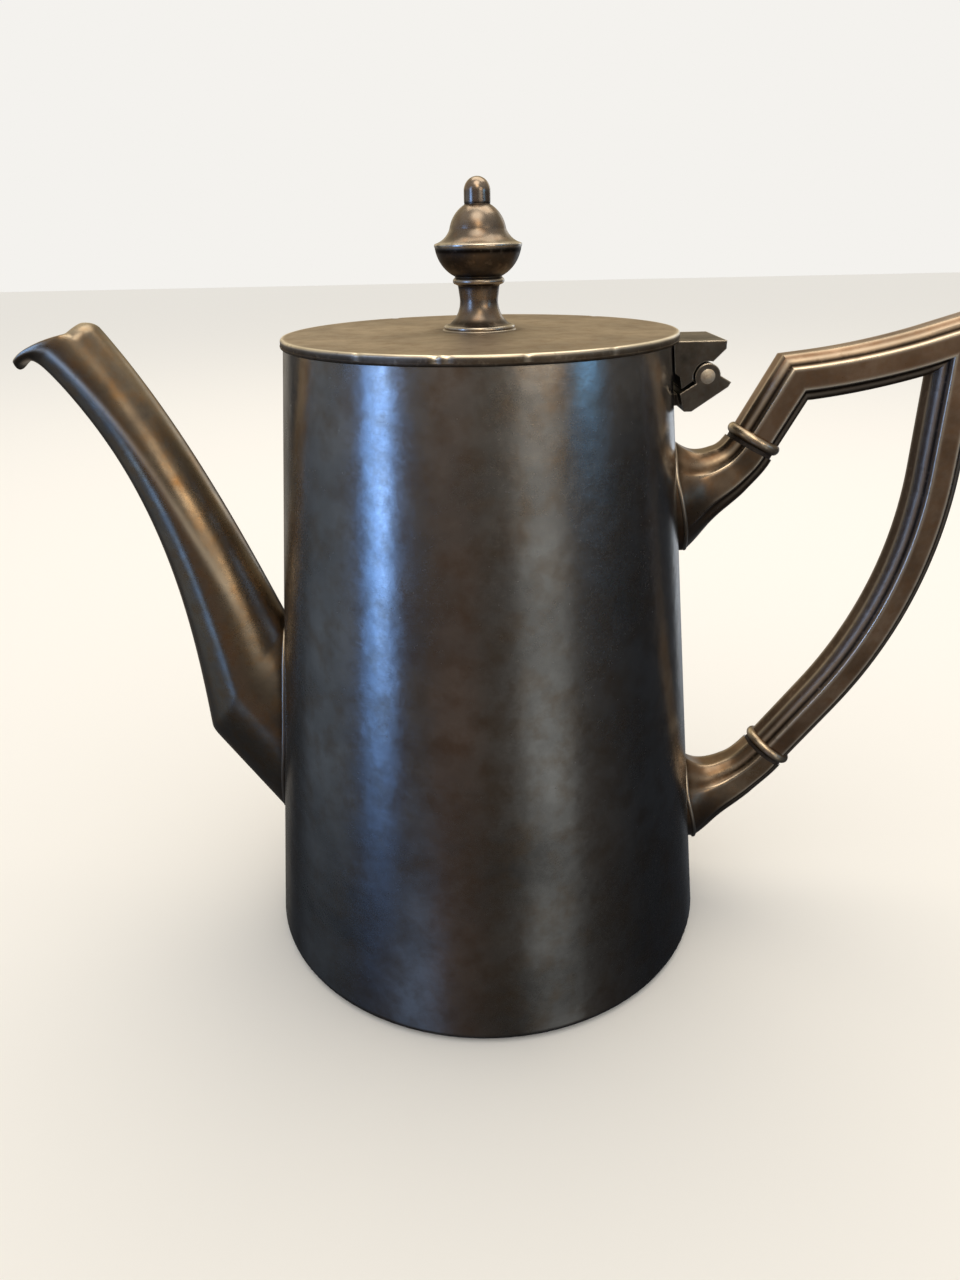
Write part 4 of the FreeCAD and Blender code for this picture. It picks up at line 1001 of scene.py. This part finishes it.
# Dull brown-black with a fine pale fleck.
fibre_looks = {
    "Base Color": put_fibre("ShaderNodeMix", {0: fleck, 6: colour("1b1512"), 7: colour("33271f")}, 2,
                            data_type="RGBA"),
    "Roughness": put_fibre("ShaderNodeMapRange", {"Value": fleck, "To Min": 0.48, "To Max": 0.66}),
    "Normal": put_fibre("ShaderNodeBump", {"Height": fleck, "Strength": 0.3, "Distance": 0.00005}),
}
for socket, output in fibre_looks.items():
    fibre.node_tree.links.new(output, fibre.node_tree.nodes["Principled BSDF"].inputs[socket])
use(fibre, nodes["upper_insulator"], nodes["lower_insulator"])
print("fibre:", len(fibre.node_tree.nodes), "nodes")

# %% [markdown]
# ## Floor
#
# The pot stands on a plain pale floor, which shows its shadow. A mirror-like pot would show the floor as
# well, and turn white in its lower half, so the floor is hidden from reflections and the metal sees the
# room instead.

# %% Floor
FLOOR_HALF = 3.0

floor_mesh = bpy.data.meshes.new("floor")
floor_corners = np.array([(-1, -1, 0), (1, -1, 0), (1, 1, 0), (-1, 1, 0)]) * FLOOR_HALF
floor_mesh.from_pydata(floor_corners.tolist(), [], [(0, 1, 2, 3)])
floor = add_object("floor", floor_mesh)
# Matt painted board: pale, with no gloss.
floor_paint = bpy.data.materials.new("pale_studio_floor")
floor_paint.use_nodes = True
floor_tree = floor_paint.node_tree
floor_tree.nodes.remove(floor_tree.nodes["Principled BSDF"])
matt = add(floor_tree, "ShaderNodeBsdfDiffuse", {"Color": colour("f1efeb")})
floor_tree.links.new(matt, floor_tree.nodes["Material Output"].inputs["Surface"])
floor.visible_glossy = False
floor_mesh.materials.append(floor_paint)
print("floor:", 2 * FLOOR_HALF, "m wide")

# %% [markdown]
# ## Room and light
#
# Metal shows what is round it. Lamps alone would give small hot spots, so the world is painted as a dim
# room, for reflections only: paler upwards, warm behind and dim at the sides. Tall soft strips draw the
# long cool and warm highlights down the tapered sides, and round lights those on the knob, the spout and
# the handle. The camera and the matt floor see an even pale surround.

# %% Room
PALE = "f4f2ee"

world = bpy.data.worlds.new("soft_studio")
world.use_nodes = True
bpy.context.scene.world = world
sky = world.node_tree
put_sky = partial(add, sky)
outward = put_sky("ShaderNodeTexCoord", out="Generated")
up = put_sky("ShaderNodeSeparateXYZ", {0: outward}, "Z")
behind = put_sky("ShaderNodeSeparateXYZ", {0: outward}, "Y")
# Each layer: between which values of a direction it fades in, how much of it shows, and its tint.
ROOM = (
    ([(up, -0.15, 0.75)], 1.0, "b4aca0"),
    ([(behind, 0.1, 0.9), (up, 0.02, 0.2)], 0.85, "c9b791"),
    ([(behind, -0.75, 0.0), (up, 0.12, -0.12)], 1.0, "303236"),
)
room = colour("57514b")
for limits, share, tint in ROOM:
    for direction, start, full in limits:
        fade = put_sky("ShaderNodeMapRange", {"Value": direction, "From Min": start, "From Max": full})
        share = put_sky("ShaderNodeMath", {0: share, 1: fade}, operation="MULTIPLY")
    room = put_sky("ShaderNodeMix", {0: share, 6: room, 7: colour(tint)}, 2, data_type="RGBA")
print("room:", len(ROOM), "layers")

# %% Reflected lights
# Strips: azimuth from the camera's side, half-width of the core and of the fade in degrees, then the sine
# of the lowest elevation, the rise over which it fades in, the sine of the highest, strength and tint.
STRIPS = (
    (-58, 1, 11, -0.62, 0.6, 0.5, 2.2, "78b0ff"),  # the blue highlight on the body's left
    (-55, 1, 5, -0.45, 0.5, 0.5, 2.6, "9cc4ff"),  # its bright core
    (-94, 8, 30, -0.8, 0.5, 0.5, 0.26, "b8c6d6"),  # a faint cool glow at the left edge
    (-16, 5, 18, -0.9, 0.5, 0.3, 0.08, "c07850"),  # the brown band in the middle
    (33, 4, 18, -0.9, 0.5, 0.6, 0.42, "dadfde"),  # the grey band right of the middle
    (62, 3, 11, -0.04, 0.12, 0.2, 2.0, "78c4ff"),  # the blue patch under the lid on the right
    (150, 3, 13, -0.7, 0.6, 0.5, 1.0, "dfe6ee"),  # two bands on the back
    (-156, 6, 22, -0.8, 0.5, 0.5, 0.35, "e8ddcb"),
)
# Round lights: azimuth, elevation, half-width of the core and of the fade in degrees, strength and tint.
ROUND_LIGHTS = (
    (-4, 66, 8, 26, 2.2, "ffeed6"),  # ceiling, on the knob and the handle's top
    (4, 38, 4, 14, 2.6, "ffe0b4"),
    (26, 12, 2, 8, 2.0, "ffe2bc"),  # two warm lights on the spout
    (40, 13, 3, 9, 2.6, "ffd49a"),
    (-38, -38, 3, 16, 0.32, "8fb4e8"),  # cool glow from below, low on the body and spout
)


def aim_at(azimuth, elevation):
    """Unit vector at an azimuth from the camera's side and an elevation, both in degrees."""
    turn, lift = math.radians(azimuth), math.radians(elevation)
    return (math.sin(turn) * math.cos(lift), -math.cos(turn) * math.cos(lift), math.sin(lift))


def soft_light(direction, aim, core, fade):
    """Share of a light seen in a direction: 1 within core degrees of its aim, 0 beyond fade."""
    facing = put_sky("ShaderNodeVectorMath", {0: direction, 1: aim}, "Value", operation="DOT_PRODUCT")
    limits = {"From Min": math.cos(math.radians(fade)), "From Max": math.cos(math.radians(core))}
    return put_sky("ShaderNodeMapRange", {"Value": facing, **limits}, interpolation_type="SMOOTHSTEP")


level = put_sky("ShaderNodeVectorMath", {0: outward, 1: (1, 1, 0)}, operation="MULTIPLY")
level = put_sky("ShaderNodeVectorMath", {0: level}, operation="NORMALIZE")
lights = []
for azimuth, core, fade, lowest, rise, highest, strength, tint in STRIPS:
    share = soft_light(level, aim_at(azimuth, 0), core, fade)
    for start, full in ((lowest, lowest + rise), (highest, highest / 2)):
        limit = put_sky("ShaderNodeMapRange", {"Value": up, "From Min": start, "From Max": full},
                        interpolation_type="SMOOTHSTEP")
        share = put_sky("ShaderNodeMath", {0: share, 1: limit}, operation="MULTIPLY")
    lights.append((share, strength, tint))
for azimuth, elevation, core, fade, strength, tint in ROUND_LIGHTS:
    lights.append((soft_light(outward, aim_at(azimuth, elevation), core, fade), strength, tint))
for share, strength, tint in lights:
    glow = [strength * part for part in colour(tint)[:3]] + [1.0]
    room = put_sky("ShaderNodeMix", {0: share, 6: room, 7: glow}, 2, data_type="RGBA", blend_type="ADD")
surround = colour(PALE)
for ray, seen in (("Is Glossy Ray", room), ("Is Camera Ray", colour(PALE))):
    share = put_sky("ShaderNodeLightPath", out=ray)
    surround = put_sky("ShaderNodeMix", {0: share, 6: surround, 7: seen}, 2, data_type="RGBA")
sky.links.new(surround, sky.nodes["Background"].inputs["Color"])
print("reflected lights:", len(lights))

# %% Lamp
LAMP_PLACE, POT_MIDDLE = Vector((0.1, 0.3, 0.9)), Vector((0, 0, 0.08))
LAMP_WIDTH, LAMP_DEPTH, LAMP_WATTS = 0.9, 0.6, 3

light = bpy.data.lights.new("warm_overhead", "AREA")
light.shape = "RECTANGLE"
light.size, light.size_y = LAMP_WIDTH, LAMP_DEPTH
light.energy = LAMP_WATTS
light.color = colour("fff0d8")[:3]
lamp = add_object("warm_overhead", light)
lamp.location = LAMP_PLACE
lamp.rotation_euler = (POT_MIDDLE - LAMP_PLACE).to_track_quat("-Z", "Y").to_euler()
print(f"lamp: {(POT_MIDDLE - LAMP_PLACE).length:.2f} m from the pot")

# %% [markdown]
# ## Camera
#
# The camera stands close, a little above the lid, and looks down. Its place, pitch and roll could be set by
# eye. They were instead fitted to the outlines of the lid, the rim, the handle and the spout, so that each
# piece falls where it is seen.

# %% Camera
FOCAL_PIXELS, IMAGE_HEIGHT, SENSOR = 889.5, 1280, 36
CAMERA_PLACE = Vector((-0.634, -178.945, 148.168))
PITCH, ROLL = 0.4289, -0.0207

camera = add_object("camera", bpy.data.cameras.new("camera"))
camera.data.sensor_fit = "VERTICAL"
camera.data.sensor_height = SENSOR
camera.data.lens = FOCAL_PIXELS * SENSOR / IMAGE_HEIGHT
camera.data.clip_start = 0.01
forward = Vector((0, math.cos(PITCH), -math.sin(PITCH)))
level_right = Vector((1, 0, 0))
level_up = level_right.cross(forward)
right = math.cos(ROLL) * level_right + math.sin(ROLL) * level_up
above = math.cos(ROLL) * level_up - math.sin(ROLL) * level_right
turn = Matrix((right, above, -forward)).transposed()
camera.matrix_world = Matrix.Translation(CAMERA_PLACE * MM) @ turn.to_4x4()
bpy.context.scene.camera = camera
bpy.context.scene.view_settings.view_transform = "Standard"
print(f"camera: {camera.data.lens:.1f} mm lens")
